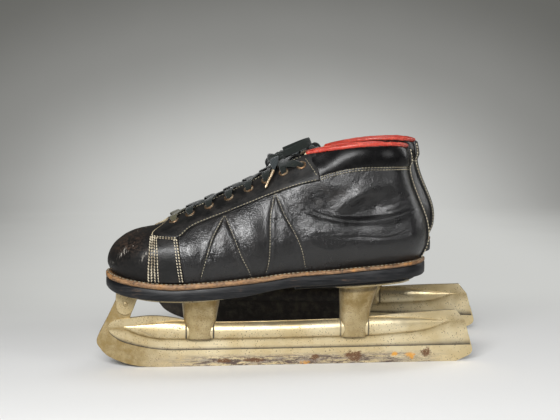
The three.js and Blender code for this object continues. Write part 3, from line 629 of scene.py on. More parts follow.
def welt_leather():
    """Tan welt leather with dark dirt along its seam and orange rubbed places."""
    m = Shader("welt_leather", Specular_IOR_Level=0.4)
    along = m.scaled((0.35, 0.35, 1.6))
    fibre = m.noise(380, 5, 0.75, along)
    broad = m.noise(62, 5, 0.7)
    colour = m.blend(m.step(fibre, 0.35, 0.68), (0.115, 0.058, 0.026), (0.33, 0.19, 0.09))
    colour = m.blend(m.times(m.step(broad, 0.52, 0.68), 0.8), colour, (0.46, 0.21, 0.055))
    grime_and_painted_shade = m.most(m.step(m.noise(130, 5, 0.75), 0.55, 0.66), m.value("dirt"))
    m.set("Base Color", m.blend(m.times(grime_and_painted_shade, 0.88), colour, (0.028, 0.018, 0.012)))
    m.set("Roughness", m.range(m.step(fibre, 0.3, 0.7), 0.42, 0.68))
    m.set("Normal", m.bump(fibre, 0.35, m.bump(m.noise(1100, 2, 0.6), 0.08)))
    return m.material


def lining_leather(name, pale, dark):
    """Natural leather inside the boot: fibres, a soft nap and darkened, handled areas."""
    m = Shader(name, Specular_IOR_Level=0.3)
    broad = m.noise(38, 5, 0.65)
    fibre = m.noise(700, 4, 0.7)
    colour = m.blend(m.step(broad, 0.35, 0.68), dark, pale)
    m.set("Base Color", m.blend(m.times(m.step(fibre, 0.5, 0.75), 0.4), colour, dark))
    m.set("Roughness", m.range(m.step(fibre, 0.3, 0.7), 0.6, 0.82))
    m.set("Normal", m.bump(fibre, 0.15, m.bump(m.cells(900, "DISTANCE_TO_EDGE"), 0.1)))
    return m.material


def red_leather():
    """Glossy red binding leather, cracked across, with dark cracks and paler rubbed crests."""
    m = Shader("red_binding", Specular_IOR_Level=0.5, Coat_Weight=0.35, Coat_Roughness=0.25)
    cracks = m.cells(420, "DISTANCE_TO_EDGE", m.scaled((1.5, 1, 0.8)))
    broad = m.noise(120, 5, 0.7)
    colour = m.blend(m.step(broad, 0.35, 0.7), (0.42, 0.026, 0.014), (0.72, 0.085, 0.045))
    rubbed = m.times(m.step(m.noise(500, 4, 0.8), 0.58, 0.72), 0.55)
    colour = m.blend(rubbed, colour, (0.80, 0.36, 0.27))
    split = m.times(m.step(cracks, 0.07, 0.01), m.step(broad, 0.4, 0.55))
    m.set("Base Color", m.blend(split, colour, (0.07, 0.012, 0.01)))
    m.set("Roughness", m.range(m.step(broad, 0.3, 0.7), 0.28, 0.5))
    m.set("Normal", m.bump(m.step(cracks, 0.0, 0.1), 0.18, m.bump(broad, 0.4)))
    return m.material


OLIVE = (0.075, 0.07, 0.04)


def braid(name, dark, light):
    """Woven flat cotton lace: a herringbone of fine strands, faded to olive where the mesh says so."""
    m = Shader(name, Specular_IOR_Level=0.25, Sheen_Weight=0.25, Sheen_Roughness=0.5)
    along, side = m.value("along"), m.value("side")
    one = m.maths("SINE", m.times(m.plus(along, side), 5.2))
    two = m.maths("SINE", m.times(m.maths("SUBTRACT", along, side), 5.2))
    weave = m.range(m.times(one, two), 0.25, 0.75)
    fuzz = m.noise(1600, 3, 0.7)
    colour = m.blend(m.step(m.plus(weave, m.times(fuzz, 0.5)), 0.5, 1.0), dark, light)
    m.set("Base Color", m.blend(m.value("olive"), colour, OLIVE))
    m.set("Roughness", m.range(fuzz, 0.75, 0.95))
    m.set("Normal", m.bump(fuzz, 0.12, m.bump(weave, 0.25)))
    return m.material


def thread(name, pale, dirty):
    """Waxed cream thread, greyed in places."""
    m = Shader(name, Specular_IOR_Level=0.35)
    grime_and_painted_shade = m.noise(85, 4, 0.7)
    twist = m.noise(1500, 3, 0.7)
    colour = m.blend(m.step(grime_and_painted_shade, 0.4, 0.66), pale, dirty)
    m.set("Base Color", m.blend(m.times(m.step(twist, 0.5, 0.8), 0.5), colour, dirty))
    m.set("Roughness", m.range(twist, 0.55, 0.8))
    m.set("Normal", m.bump(twist, 0.2))
    return m.material


def brass(name, bright, dull, spotted):
    """Small brass hardware: copper where the plate has gone, and dark specks."""
    m = Shader(name, Metallic=0.9)
    cloud = m.noise(300, 4, 0.7)
    colour = m.blend(m.step(cloud, 0.4, 0.64), bright, dull)
    specks = m.times(m.step(m.cells(420), 0.34, 0.2), m.step(m.noise(150, 2, 0.5), 0.4, 0.5))
    m.set("Base Color", m.blend(m.times(specks, spotted), colour, (0.02, 0.014, 0.01)))
    m.set("Roughness", m.range(cloud, 0.28, 0.55))
    m.set("Normal", m.bump(cloud, 0.1))
    return m.material


def stage_paint():
    """A matt sweep: a pale floor that turns into a grey wall that glows by emission, with painted light
    falling off so it is darker away from its middle.
    """
    m = Shader("glowing_backdrop", Specular_IOR_Level=0.1, Roughness=0.85, Emission_Strength=1.0)
    depth = m.node("SeparateXYZ", {0: m.place}).outputs["Y"]
    # Behind the skates the sweep is near-black and glows instead of being lit: painted light.
    behind = m.step(depth, -0.04, 0.30)
    floor = m.blend(m.step(depth, -0.28, -0.55), (0.74, 0.74, 0.73), (0.09, 0.09, 0.09))
    m.set("Base Color", m.blend(behind, floor, (0.02, 0.02, 0.02)))
    # Painted light: the glow is brightest in the middle and falls off outwards, with a little uneven noise.
    moved = m.node("VectorMath", {0: m.place, 1: (0.11, 0, -0.10)}, operation="SUBTRACT").outputs[0]
    squeezed = m.node("VectorMath", {0: moved, 1: (1.35, 0.0, 2.2)}, operation="MULTIPLY").outputs[0]
    away = m.node("VectorMath", {0: squeezed}, operation="LENGTH").outputs["Value"]
    uneven = m.times(m.maths("SUBTRACT", m.noise(3, 3, 0.6), 0.5), 0.08)
    away = m.plus(away, uneven)
    wall_glow = m.blend(m.step(away, 0.45, 1.12), (0.58, 0.585, 0.565), (0.25, 0.25, 0.238))
    wall_glow = m.blend(m.step(away, 1.0, 1.6), wall_glow, (0.125, 0.125, 0.115))
    m.set("Emission Color", m.blend(behind, (0.0, 0.0, 0.0), wall_glow))
    return m.material


def make_materials():
    return {
        "quarter": leather("quarter_leather", (0.0042, 0.0040, 0.0041), (0.06, 0.05, 0.043),
                           rough=0.29, grain=0.08, creases=0.42, gloss=0.6),
        "overlay": leather("overlay_leather", (0.0045, 0.0045, 0.0043), (0.035, 0.03, 0.026),
                           rough=0.36, grain=0.03, creases=0.25, gloss=0.32),
        "collar": leather("collar_leather", (0.0035, 0.0034, 0.0035), (0.03, 0.027, 0.024),
                          rough=0.27, grain=0.012, creases=0.12, gloss=0.2),
        "toe": toe_leather(),
        "blade": plated_steel("runner_plate", True),
        "plate": plated_steel("frame_plate", False),
        "sole": sole_edge(),
        "welt": welt_leather(),
        "lining": lining_leather("lining_leather", (0.27, 0.19, 0.12), (0.13, 0.085, 0.05)),
        "insole": lining_leather("insole_leather", (0.24, 0.15, 0.085), (0.10, 0.06, 0.035)),
        "red": red_leather(),
        "lace": braid("lace_braid", (0.0035, 0.0055, 0.0045), (0.015, 0.023, 0.018)),
        "grey_lace": braid("lace_end_braid", (0.011, 0.016, 0.017), (0.042, 0.052, 0.055)),
        "cream": thread("cream_thread", (0.56, 0.50, 0.37), (0.26, 0.21, 0.14)),
        "tan": thread("tan_thread", (0.30, 0.27, 0.19), (0.14, 0.12, 0.08)),
        "piping": thread("cream_piping", (0.50, 0.42, 0.27), (0.20, 0.15, 0.09)),
        "eyelet": brass("eyelet_brass", (0.27, 0.215, 0.145), (0.2, 0.105, 0.05), 0.8),
        "aglet": brass("aglet_brass", (0.70, 0.56, 0.38), (0.42, 0.29, 0.17), 1.0),
    }


# ---- Laces: the bow's loops and ends, the knot and the criss-cross ----------
KNOT = ridge(8.05)[0] + (0, 0, 7.8)
STANDING_LOOP = [[3, -6.6, 3.4], [12, -11, 7.5], [23, -12.5, 13], [29.5, -9, 16], [24, -5.5, 14.5],
                 [13, -5, 10.5], [5, -3, 7.5]]
HANGING_LOOP = [[3, 6.6, 3.4], [8, 14, 6], [12, 22, 3], [13, 31, -6], [8, 33, -8], [3, 24, 0],
                [0, 14, 3.4], [-1, 7, 4]]
LOOPS = {
    "left": {"lateral": STANDING_LOOP, "medial": HANGING_LOOP},
    "right": {"lateral": [[x, -y, z] for x, y, z in HANGING_LOOP], "medial": HANGING_LOOP},
}
ENDS = {
    "lateral": [[-3, -6.9, 0.5], [-4, -14, 1], [-5, -20, -3.5], [-5.5, -25, -9]],
    "medial": [[-3, 6.9, 0.5], [-5, 16, 1], [-7, 24, -4.5], [-8, 31, -12]],
}
AGLET_LENGTH = 19.0
LACE_WIDTH = 7.4
END_WIDTH = 7.0  # the free ends are rolled narrower towards their aglets
LACE_THICK = 1.1
LACE_SQUARENESS = 0.6  # its section is a rounded oblong
END_DIRECTION = {"lateral": (-0.42, -0.36, -0.8), "medial": (-0.42, 0.4, -0.8)}


def with_olive(form, amount=0.0):
    form.values["olive"] = np.full(len(form.points), amount)
    return form


def make_loop(skate, side, m):
    """One loop of the bow, pressed flat, from the knot out and back."""
    points = curve(KNOT + np.array(LOOPS[skate.name][side]), 60)
    across = unit(np.cross(np.gradient(points, axis=0), (0.3, -SIDES[side], 0.25)))
    stands = LOOPS[skate.name][side] is STANDING_LOOP
    lean = np.array([-0.35, 0, 0.95]) if stands else np.array([1.0, 0.2, 0.2])
    share = np.linspace(0, 1, len(points))
    swell = 0.72 + 0.28 * np.sin(math.pi * share) ** 0.7
    form = sweep(points, 0.4 * across + lean, LACE_WIDTH / 2 * swell, LACE_THICK / 2, 14, LACE_SQUARENESS)
    node = f"{side}_lace_loop"
    band = build(skate, node, with_olive(form), m["lace"], [node])
    path = skate.to_row(points)


def make_end(skate, side, m):
    """A free end of the lace: a flat band from the knot into its metal aglet."""
    direction = unit(np.array(END_DIRECTION[side]))
    points = KNOT + np.array(ENDS[side])
    inside = points[-1] + direction * np.array([[2.0], [6.0], [16.0]])
    in_knot = KNOT + np.array([1.5, 3.4 * SIDES[side], 2.2])
    points = curve(np.vstack([in_knot, points, inside]), 54)
    reach = np.linalg.norm(points - points[0], axis=1) / np.linalg.norm(points[-1] - points[0])
    taper = 1 - 0.8 * smooth(0.44, 0.66, reach)
    form = sweep(points, (0.9, 0.1, 0.4), END_WIDTH / 2 * 1.12 * taper, LACE_THICK / 2, 14, LACE_SQUARENESS)
    node = f"{side}_lace_end"
    band = build(skate, node, with_olive(form), m["grey_lace"], [node])
    start = KNOT + np.array(ENDS[side][-1]) + direction * 0.5
    steps = np.array([0, 0.6, 1, 3, 9, 15, AGLET_LENGTH - 1, AGLET_LENGTH - 0.4, AGLET_LENGTH])
    girth = np.array([1.0, 1.35, 1.45, 1.45, 1.3, 1.2, 1.1, 0.9, 0.5])
    tube = sweep(start + direction * steps[:, None], (0, 1, 0.1), girth, girth, 14)
    tag = build(skate, f"{side}_aglet", tube, m["aglet"], [f"{side}_aglet"])
    path = skate.to_row(points)


def make_knot(skate, m):
    """The bow's knot: three turns of the flat lace drawn tight over each other."""
    turn = np.linspace(0, 2 * math.pi, 41)
    turns = [
        ((5.4, 0, 0), (0, 6.2, 0), (0, 0, 1), 3.5, 0.0),
        ((2.6, 3.2, 3.6), (-3.0, 5.0, -1.2), (0.7, 0.5, -0.4), 2.6, 0.4),
        ((3.4, -3.0, 3.0), (3.2, 5.0, 0.6), (0.6, -0.4, 0.6), 2.6, -0.3),
    ]
    bands = []
    for first, second, axis, width, shift in turns:
        ring = np.cos(turn)[:, None] * np.array(first) + np.sin(turn)[:, None] * np.array(second)
        ring = KNOT + ring * np.array([1.6, 1.3, 1.2]) + (shift, 0, 0.4)
        ring = ring + 0.35 * np.sin(3 * turn + shift * 9)[:, None]
        bands.append(with_olive(sweep(ring[:-1], axis, width, 1.0, 14, LACE_SQUARENESS)))
    core = KNOT + np.array([[-4.6, 0, -0.6], [-2.6, 0.4, 0], [0, 0, 0.4], [2.6, -0.4, 0.3], [4.6, 0, -0.3]])
    wide, thick = np.array([[2.2, 4.2, 4.8, 4.2, 2.2], [1.6, 3.0, 3.4, 3.0, 1.6]])
    bands.append(with_olive(sweep(core, (0, 1, 0), wide, thick)))
    build(skate, "lace_knot", joined(bands), m["lace"], ["lace_knot"])


def lace_strand(first_side, rise):
    """Control points of half the lace, with its half-width, half-thickness and share of olive at each."""
    last = len(EYELET_STATIONS) - 1
    points, sizes = [], []
    side = first_side

    def add(place, width, thick, olive):
        points.append(np.asarray(place, float).reshape(3))
        sizes.append((width, thick, olive))

    for k, s in enumerate(EYELET_STATIONS):
        olive = 0.9 if k == 0 else 0.0
        add(on_upper(side, s, EYELET_ROW, -LEATHER), 1.5, 0.9, olive)
        add(on_upper(side, s, EYELET_ROW + 0.02, 1.8), 2.2, 1.0, olive)
        if k == last:
            add(on_upper(side, s - 0.22, EYELET_ROW + 0.08, 5.2), 3.4, 1.0, olive)
            add(on_upper(side, s - 0.62, EYELET_ROW + 0.3, 5.4), 3.9, 0.9, olive)
            break
        add(on_upper(side, s + 0.02, EYELET_ROW + 0.14, 5.2), 3.6, 0.9, olive)
        add(on_upper(side, s + 0.07, TOP - 0.06, 4.3), 3.9, 0.7, olive)
        other = EYELET_STATIONS[k + 1]
        middle = ridge((s + other) / 2)[0] + (0, 0, rise)
        add(middle, 4.1, 0.9, olive * 0.6)
        add(on_upper(-side, other - 0.04, TOP, -LEATHER), 2.5, 0.6, 0.0)
        side = -side
    add(KNOT + (3, side * 5.0, -0.5), 2.4, 0.7, 0.0)
    return np.array(points), np.array(sizes)


def make_lace(skate, m):
    """The criss-cross lacing: two halves, one over the other, and the bar across the lowest eyelets."""
    forms = []
    for first, rise in ((LATERAL, 3.0), (MEDIAL, -0.6)):
        points, sizes = lace_strand(first, rise)
        line = curve(np.hstack([points, 3 * sizes]), 620)
        line[:, :3] += 0.15 * np.stack([lumps(line[:, :3] + 40 * k, 6, skate.seed) for k in range(3)], 1)
        throat = ridge(9.0)[0] - ridge(4.6)[0]
        sizes = line[:, 3:] / 3
        form = sweep(line[:, :3], throat, sizes[:, 0], sizes[:, 1], 12, LACE_SQUARENESS)
        form.values["olive"] = np.repeat(np.clip(sizes[:, 2], 0, 1), 12)
        forms.append(form)
    s = EYELET_STATIONS[0]
    corners = ((LATERAL, EYELET_ROW), (LATERAL, TOP), (MEDIAL, TOP), (MEDIAL, EYELET_ROW))
    bar = curve([on_upper(side, s, t, -LEATHER) for side, t in corners], 30)
    forms.append(with_olive(sweep(bar, (1, 0, 0.4), 2.5, 0.55, 12, LACE_SQUARENESS), 0.6))
    build(skate, "lace", joined(forms), m["lace"], ["lace"])


# ---- Stitching --------------------------------------------------------------
def stitches(points, normals, length=2.3, gap=0.8, radius=0.4, slant=0.0):
    """A row of thread stitches along a line on a surface, each a short swell with sunk ends."""
    along = distances_along(points)
    count = max(int(along[-1] // (length + gap)), 1)
    starts = np.arange(count) * (along[-1] / count)
    share = np.array([0, 0.16, 0.5, 0.84, 1])
    where = starts[:, None] + share * length
    middle = np.stack([np.interp(where, along, points[:, k]) for k in range(3)], -1)
    up = unit(np.stack([np.interp(where, along, normals[:, k]) for k in range(3)], -1))
    tangent = unit(np.gradient(middle, axis=1))
    across = np.cross(up, tangent)
    middle = middle + up * (radius * np.array([-0.9, 0.25, 0.5, 0.25, -0.9]))[:, None]
    middle = middle + across * (slant * (share - 0.5))[:, None]
    turn = 2 * math.pi * np.arange(6) / 6
    size = radius * np.array([0.45, 0.95, 1.05, 0.95, 0.45])[None, :, None, None]
    spokes = across[:, :, None] * np.cos(turn)[:, None] + up[:, :, None] * np.sin(turn)[:, None]
    rings = middle[:, :, None] + spokes * size
    base = np.arange(5 * 6).reshape(5, 6)
    turned = np.roll(base, -1, axis=1)
    quads = np.stack([base[:-1], turned[:-1], turned[1:], base[1:]], -1).reshape(-1, 4)
    ends = np.array([base[0][::-1], base[-1]])
    faces = [q for k in range(count) for q in (quads + 30 * k).tolist() + (ends + 30 * k).tolist()]
    return Form(rings.reshape(-1, 3), faces)


def seam(frame_at, us, vs, out, **kind):
    """Stitches along the line (us, vs) of a surface, at a height out over it."""
    points, normals = frame_at(np.asarray(us, float), np.asarray(vs, float))
    out = np.broadcast_to(out, len(points))
    return stitches(points + normals * out[:, None], normals, **kind)


def on_side(side):
    return lambda s, t: upper_frame(side, s, t)


# ---- The leather's shape ----------------------------------------------------
# Seams of the four tucks, from their lower ends to their tops, as (x, z) on the lateral side.
TUCKS = [
    [(95, 86), (97.6, 97), (105, 123), (111, 135.5), (117.3, 146)],
    [(142, 88), (138, 98), (132, 110), (124, 131), (117.7, 146)],
    [(154, 91), (157.4, 107), (158.5, 142), (160.5, 155), (162.8, 166)],
    [(191, 97), (187, 114), (181, 128.6), (171.5, 146), (163.3, 166)],
]
COLLAR_SEAM = profile([[8.8, 2.98], [9.25, 3.05], [9.6, 3.12], [10, 3.18], [10.5, 3.24], [11, 3.28],
                       [12, 3.36], [13, 3.42]])
EYESTAY_SEAM = profile([[3.5, 2.86], [4.0, 2.64], [4.7, 2.40], [4.84, 2.42], [5.1, 2.66], [5.45, 2.80],
                        [6.5, 2.86], [9.3, 2.92]])
FACING_FRONT = profile([[0, 3.56], [0.3, 3.66], [0.7, 4.0], [1, 4.34]])
STRAP_FRONT = profile([[0, 3.44], [0.5, 3.5], [1, 3.5]])
STRAP_BACK = profile([[0, 4.97], [1, 4.74]])


def tuck_line(corner_points):
    """The tuck's seam on the lateral side as arrays (s, t), found by steps to the nearest place."""
    wanted = curve(corner_points, 40)
    s = np.interp(wanted[:, 0], UPPER[:, 2, 0], np.arange(len(UPPER)))
    t = np.interp(wanted[:, 1], [86, 105, 130, 155, 175], [0.0, 1.0, 2.0, 3.0, 4.0])
    e = 0.01
    for _ in range(14):
        here = upper_points(LATERAL, s, t)[:, [0, 2]]
        by_s = (upper_points(LATERAL, s + e, t)[:, [0, 2]] - here) / e
        by_t = (upper_points(LATERAL, s, t + e)[:, [0, 2]] - here) / e
        miss = wanted - here
        scale = by_s[:, 0] * by_t[:, 1] - by_s[:, 1] * by_t[:, 0]
        s = np.clip(s + 0.7 * (miss[:, 0] * by_t[:, 1] - miss[:, 1] * by_t[:, 0]) / scale, 4, 12.5)
        t = np.clip(t + 0.7 * (by_s[:, 0] * miss[:, 1] - by_s[:, 1] * miss[:, 0]) / scale, 0.02, 3.3)
    return s, t


TUCK_LINES = [tuck_line(points) for points in TUCKS]


def distance_to_line(x, z, line):
    """Each place's distance to a line in the (x, z) plane, and its share of the way along the line."""
    best = np.full(x.shape, 1e9)
    share = np.zeros(x.shape)
    for k, (a, b) in enumerate(zip(line[:-1], line[1:])):
        span = b - a
        f = np.clip(((x - a[0]) * span[0] + (z - a[1]) * span[1]) / max(span @ span, 1e-9), 0, 1)
        d = np.hypot(x - a[0] - f * span[0], z - a[1] - f * span[1])
        nearer = d < best
        best = np.where(nearer, d, best)
        share = np.where(nearer, (k + f) / (len(line) - 1), share)
    return best, share


def hill(x, z, cx, cz, length, height, lean=0.0):
    """A smooth hill of height 1 on the (x, z) plane, leaning by an angle."""
    c, s = math.cos(lean), math.sin(lean)
    u = ((x - cx) * c + (z - cz) * s) / length
    v = ((z - cz) * c - (x - cx) * s) / height
    return np.exp(-(u * u + v * v))


def ankle(x, z):
    """The hollow over the ankle, the smile-shaped crease under it, and the heel's fullness below that."""
    crease = 138 + 0.0039 * (x - 243) ** 2
    over = z - crease
    window = smooth(178, 200, x) * smooth(306, 282, x)
    hollow = smooth(-1.0, 7.0, over) * smooth(34, 11, over) * hill(x, z, 243, 152, 44, 60)
    shape = -5.4 * hollow * window
    shape += 4.8 * hill(x, z, 234, 159, 19, 6.5, 0.55) * window
    shape -= 1.6 * hill(x, z, 258, 155, 12, 5, 0.9)
    shape += 1.3 * hill(x, z, 275, 152, 9, 6, 0.8)
    shape += 1.0 * window * np.exp(-(((over + 6) / 5) ** 2))
    shape += 2.6 * window * np.exp(-(((over + 19) / 12) ** 2))
    shape -= 1.3 * window * np.exp(-((over / 1.4) ** 2))
    for gap, x0, x1 in ((5.0, 188, 235), (9.5, 190, 228), (-14, 215, 290), (14, 255, 296)):
        line = over - gap - 1.5 * np.sin(x / 9)
        shape -= 0.45 * smooth(x0, x0 + 12, x) * smooth(x1, x1 - 12, x) * np.exp(-((line / 1.2) ** 2))
    return shape


SWELLS = [(88, 110, 9, 15, 1.3), (114, 112, 11, 15, 1.5), (116, 133, 5, 9, 0.7), (143, 122, 12, 22, 1.9),
          (170, 122, 9, 20, 1.4), (208, 122, 24, 15, 2.1), (262, 122, 22, 13, 1.3), (292, 122, 10, 16, 0.8)]


def leather_relief(side, points, seed):
    """How far the quarter's leather stands out from its plain shape, how creased it is, and how rubbed."""
    x, z = points[..., 0], points[..., 2]
    depth = 1.0 if side == LATERAL else 0.7
    shape = depth * ankle(x, z)
    for cx, cz, length, height, rise in SWELLS:
        shape = shape + 1.7 * rise * hill(x, z, cx, cz, length, height)
    shape = shape + 0.35 * lumps(points, 17, seed)
    creased = 0.26 + 0.9 * hill(x, z, 238, 156, 62, 22) + 0.5 * hill(x, z, 205, 130, 34, 24)
    creased = creased + 0.35 * hill(x, z, 112, 118, 40, 26) + 0.4 * hill(x, z, 178, 150, 16, 14)
    leaning = np.stack([x * 0.8 + z * 0.6, points[..., 1], (z * 0.8 - x * 0.6) * 2.6], -1)
    shape = shape + creased * (0.22 * lumps(leaning, 8, seed + 1) + 0.07 * lumps(leaning, 3.6, seed + 2))
    for line in TUCKS:
        d, share = distance_to_line(x, z, curve(line, 24))
        fade = smooth(1.0, 0.9, share)
        shape = shape - (0.95 * np.exp(-((d / 1.1) ** 2)) - 0.35 * np.exp(-(((d - 3.2) / 2.0) ** 2))) * fade
        creased = creased + 0.35 * np.exp(-((d / 5) ** 2)) * fade
    rub = 0.25 * hill(x, z, 200, 165, 40, 12) + 0.2 * hill(x, z, 120, 130, 30, 20)
    return shape, np.clip(creased, 0, 1.2), np.clip(rub, 0, 1)


def edge_round(distance, radius):
    """1 well inside a sheet, falling to 0 in a quarter circle at its edge."""
    f = np.clip(distance / radius, 0, 1)
    return np.sqrt(np.maximum(1 - (1 - f) ** 2, 0))


def edge_distance(points, closed=(False, False, False, False)):
    """Each grid point's distance to the sheet's edges, leaving out those that are closed."""
    steps_i = np.linalg.norm(np.diff(points, axis=0), axis=-1)
    steps_j = np.linalg.norm(np.diff(points, axis=1), axis=-1)
    from_top = np.vstack([np.zeros((1, points.shape[1])), np.cumsum(steps_i, 0)])
    from_left = np.hstack([np.zeros((points.shape[0], 1)), np.cumsum(steps_j, 1)])
    found = [from_top, from_top[-1:] - from_top, from_left, from_left[:, -1:] - from_left]
    return np.min([d for d, shut in zip(found, closed) if not shut], axis=0)


def make_quarter(skate, side_name, m):
    """A quarter: the folded and creased side of the boot, with its four sewn tucks."""
    side = SIDES[side_name]
    s = np.linspace(TOE_END - 0.12, HEEL, 300)[:, None]
    v = np.linspace(0, 1, 120)[None, :]
    t = mix(0.03, np.maximum(EYESTAY_SEAM(s), COLLAR_SEAM(s)) + 0.3, v)
    points, normals = upper_frame(side, s + 0 * t, t)
    shape, creased, rub = leather_relief(side, points, skate.seed)
    ends = smooth(0, 9, edge_distance(points, (False, False, False, True)))
    near_heel = smooth(HEEL, HEEL - 0.7, s)
    shape = np.clip(shape, RELIEF_LOW, RELIEF_HIGH) * mix(0.15, 1, ends * near_heel)
    inner = raised(points, normals, np.minimum(shape, 0) - LEATHER)
    form = shell(raised(points, normals, shape), inner, creases=creased, rub=rub)
    name = f"{side_name}_quarter"
    build(skate, name, form, m["quarter"], [name], angle=70)
    rows = [seam(quarter_surface(side, skate.seed), s, t, 0.0, length=2.1, gap=0.5, radius=0.36)
            for s, t in TUCK_LINES]
    build(skate, f"{side_name}_tuck_stitches", joined(rows), m["tan"])


def quarter_surface(side, seed):
    """upper_frame with the quarter's relief added, for what is sewn into it."""
    def frame_at(s, t):
        points, normals = upper_frame(side, s, t)
        shape = leather_relief(side, points, seed)[0]
        return raised(points, normals, np.clip(shape, RELIEF_LOW, RELIEF_HIGH)), normals
    return frame_at


def make_toe_cap(skate, m):
    """The toe cap, over the top from one feather edge to the other."""
    across = np.linspace(-TOP + 0.03, TOP - 0.03, 161)[None, :]
    t = TOP - np.abs(across)
    s = np.linspace(0, 1, 110)[:, None] * (TOE_END - 0.02 + 0.32 * smooth(3.3, TOP, t))
    lateral, medial = upper_frame(LATERAL, s + 0 * t, t), upper_frame(MEDIAL, s + 0 * t, t)
    left = (across < 0)[..., None]
    points, normals = [np.where(left, a, b) for a, b in zip(lateral, medial)]
    middle = np.abs(across[0]) < 1e-6
    points[:, middle, 1] = 0
    normals[:, middle, 1] = 0
    normals = unit(normals)
    swell = 0.25 * lumps(points, 14, skate.seed + 5) + 0.06 * lumps(points, 4, skate.seed + 6)
    swell = swell * smooth(0, 0.4, s)
    crest = smooth(106, 124, points[..., 2]) * smooth(62, 30, points[..., 0])
    rub = np.clip(1.15 * crest + 0.12 * smooth(40, 12, points[..., 0]), 0, 1)
    x, z = points[..., 0], points[..., 2]
    scratch = hill(x, z, 27, 113, 5.5, 1.8, 0.7) + 0.7 * hill(x, z, 46, 111, 4.5, 1.6, 1.0)
    scratch = scratch + 0.6 * hill(x, z, 16, 102, 1.6, 1.8)
    inner = points - normals * LEATHER
    form = shell(raised(points, normals, swell), inner, rub=rub, scratch=scratch)
    build(skate, "toe_cap", form, m["toe"], ["toe_cap"], angle=75)


def overlay(points, normals, low, high, rub, keep=None):
    """A leather sheet between two heights over a surface."""
    flat = np.zeros(points.shape[:2])
    return shell(raised(points, normals, high), raised(points, normals, low), keep,
                 creases=flat + 0.3, rub=flat + rub)


def over_upper(side, s, t, seed, thick, radius, rub, keep=None):
    """A leather overlay on the upper, rounded at its edges: it lies on the upper's own bumps."""
    points, normals = upper_frame(side, s, t)
    low = np.clip(0.25 * lumps(points, 17, seed), -0.4, 0.6)
    high = low + thick * edge_round(edge_distance(points) + 0.12, radius)
    return overlay(points, normals, low - 0.7, high, rub, keep)


def make_eyestay(skate, side_name, m):
    """The overlay beside the throat, pierced by its eyelets, with two seams and a piped front edge."""
    side = SIDES[side_name]
    v = np.linspace(0, 1, 64)[None, :]
    s = mix(FACING_FRONT(v), COLLAR_START + 0.28, np.linspace(0, 1, 240)[:, None])
    t = mix(EYESTAY_SEAM(s), TOP, v)
    points = on_upper(side, s, t)
    keep = np.ones(np.array(points.shape[:2]) - 1, bool)
    rings = []
    for station in EYELET_STATIONS:
        place, normal = upper_frame(side, station, EYELET_ROW)
        offset = points - place
        away = np.linalg.norm(offset - normal * (offset @ normal)[..., None], axis=-1)
        inside = away < 3.2
        keep &= ~(inside[:-1, :-1] | inside[1:, 1:] | inside[1:, :-1] | inside[:-1, 1:])
        rings.append(eyelet(place, normal))
    form = over_upper(side, s, t, skate.seed, LIFT + OVERLAY, 1.2, 0.35, keep)
    name = f"{side_name}_eyestay"
    build(skate, name, form, m["overlay"], [name], angle=60)
    build(skate, f"{side_name}_eyelets", joined(rings), m["eyelet"])
    out = LIFT + OVERLAY - 0.1
    us = np.linspace(4.8, COLLAR_START + 0.2, 160)
    rows = [seam(on_side(side), us, EYESTAY_SEAM(us) + 0.035, out, length=2.1, gap=0.8, radius=0.4)]
    us = np.linspace(4.5, COLLAR_START - 0.1, 160)
    rows.append(seam(on_side(side), us, np.full(160, TOP - 0.07), out, length=2.0, gap=0.8, radius=0.32))
    build(skate, f"{name}_stitches", joined(rows), m["tan"])
    vs = np.linspace(0, 1, 60)
    ss = FACING_FRONT(vs)
    front, out = upper_frame(side, ss, mix(EYESTAY_SEAM(ss), TOP, vs))
    edge = sweep(front + out * 1.3, np.array([1.0, 0, 0.2]), 0.7, 0.9, 10)
    build(skate, f"{side_name}_facing_piping", edge, m["piping"])


def eyelet(place, normal):
    """A brass ring set in the eyestay, with its barrel going down through the leather."""
    top = LIFT + OVERLAY
    shape = [(2.75, -1.6), (2.75, top + 0.1), (3.05, top + 0.8), (3.8, top + 1.05), (4.6, top + 0.65),
             (4.9, top - 0.15), (3.5, top - 0.2), (3.3, -1.6)]
    return lathe(place, normal, shape, 26)


def make_toe_strap(skate, side_name, m):
    """The slanting strap behind the toe cap, with close rows of cream stitches."""
    side = SIDES[side_name]
    v = np.linspace(0, 1, 70)[None, :]
    u = np.linspace(0, 1, 34)[:, None]
    s = mix(STRAP_FRONT(v), STRAP_BACK(v), u)
    t = mix(0.06, EYESTAY_SEAM(s) + 0.05, v)
    form = over_upper(side, s, t, skate.seed, OVERLAY + 0.5, 1.0, 0.3)
    name = f"{side_name}_toe_strap"
    build(skate, name, form, m["overlay"], [name], angle=60)
    rows = []

    def sew(us, ts, out, **kind):
        rows.append(seam(on_side(side), us, ts, OVERLAY + out, **kind))

    vs = np.linspace(0.02, 0.97, 60)
    for share, size, slant in ((0.1, 0.62, 0.6), (0.4, 0.68, -0.6), (0.7, 0.62, 0.6), (1.0, 0.5, 0)):
        us = STRAP_FRONT(vs) + share * mix(0.5, 0.32, vs)
        sew(us, mix(0.08, EYESTAY_SEAM(us), vs), 0.45, length=2.5, gap=0.15, radius=size, slant=slant)
    for shift, size in ((-0.06, 0.6), (-0.16, 0.42)):
        us = STRAP_BACK(vs) + shift
        sew(us, mix(0.08, EYESTAY_SEAM(us), vs), 0.4, length=2.3, gap=0.35, radius=size, slant=0.4)
    us = np.linspace(3.56, 4.7, 44)
    for shift in (-0.02, -0.1):
        sew(us, EYESTAY_SEAM(us) + shift, 0.45, length=2.0, gap=0.6, radius=0.42)
    build(skate, f"{name}_stitches", joined(rows), m["cream"])


COLLAR_REACH = HEEL - COLLAR_START


def collar_reach(v):
    """How far round from the heel the band's slanting front edges are, at v up the band."""
    return mix(COLLAR_REACH - 0.25, COLLAR_REACH + 0.02, v)


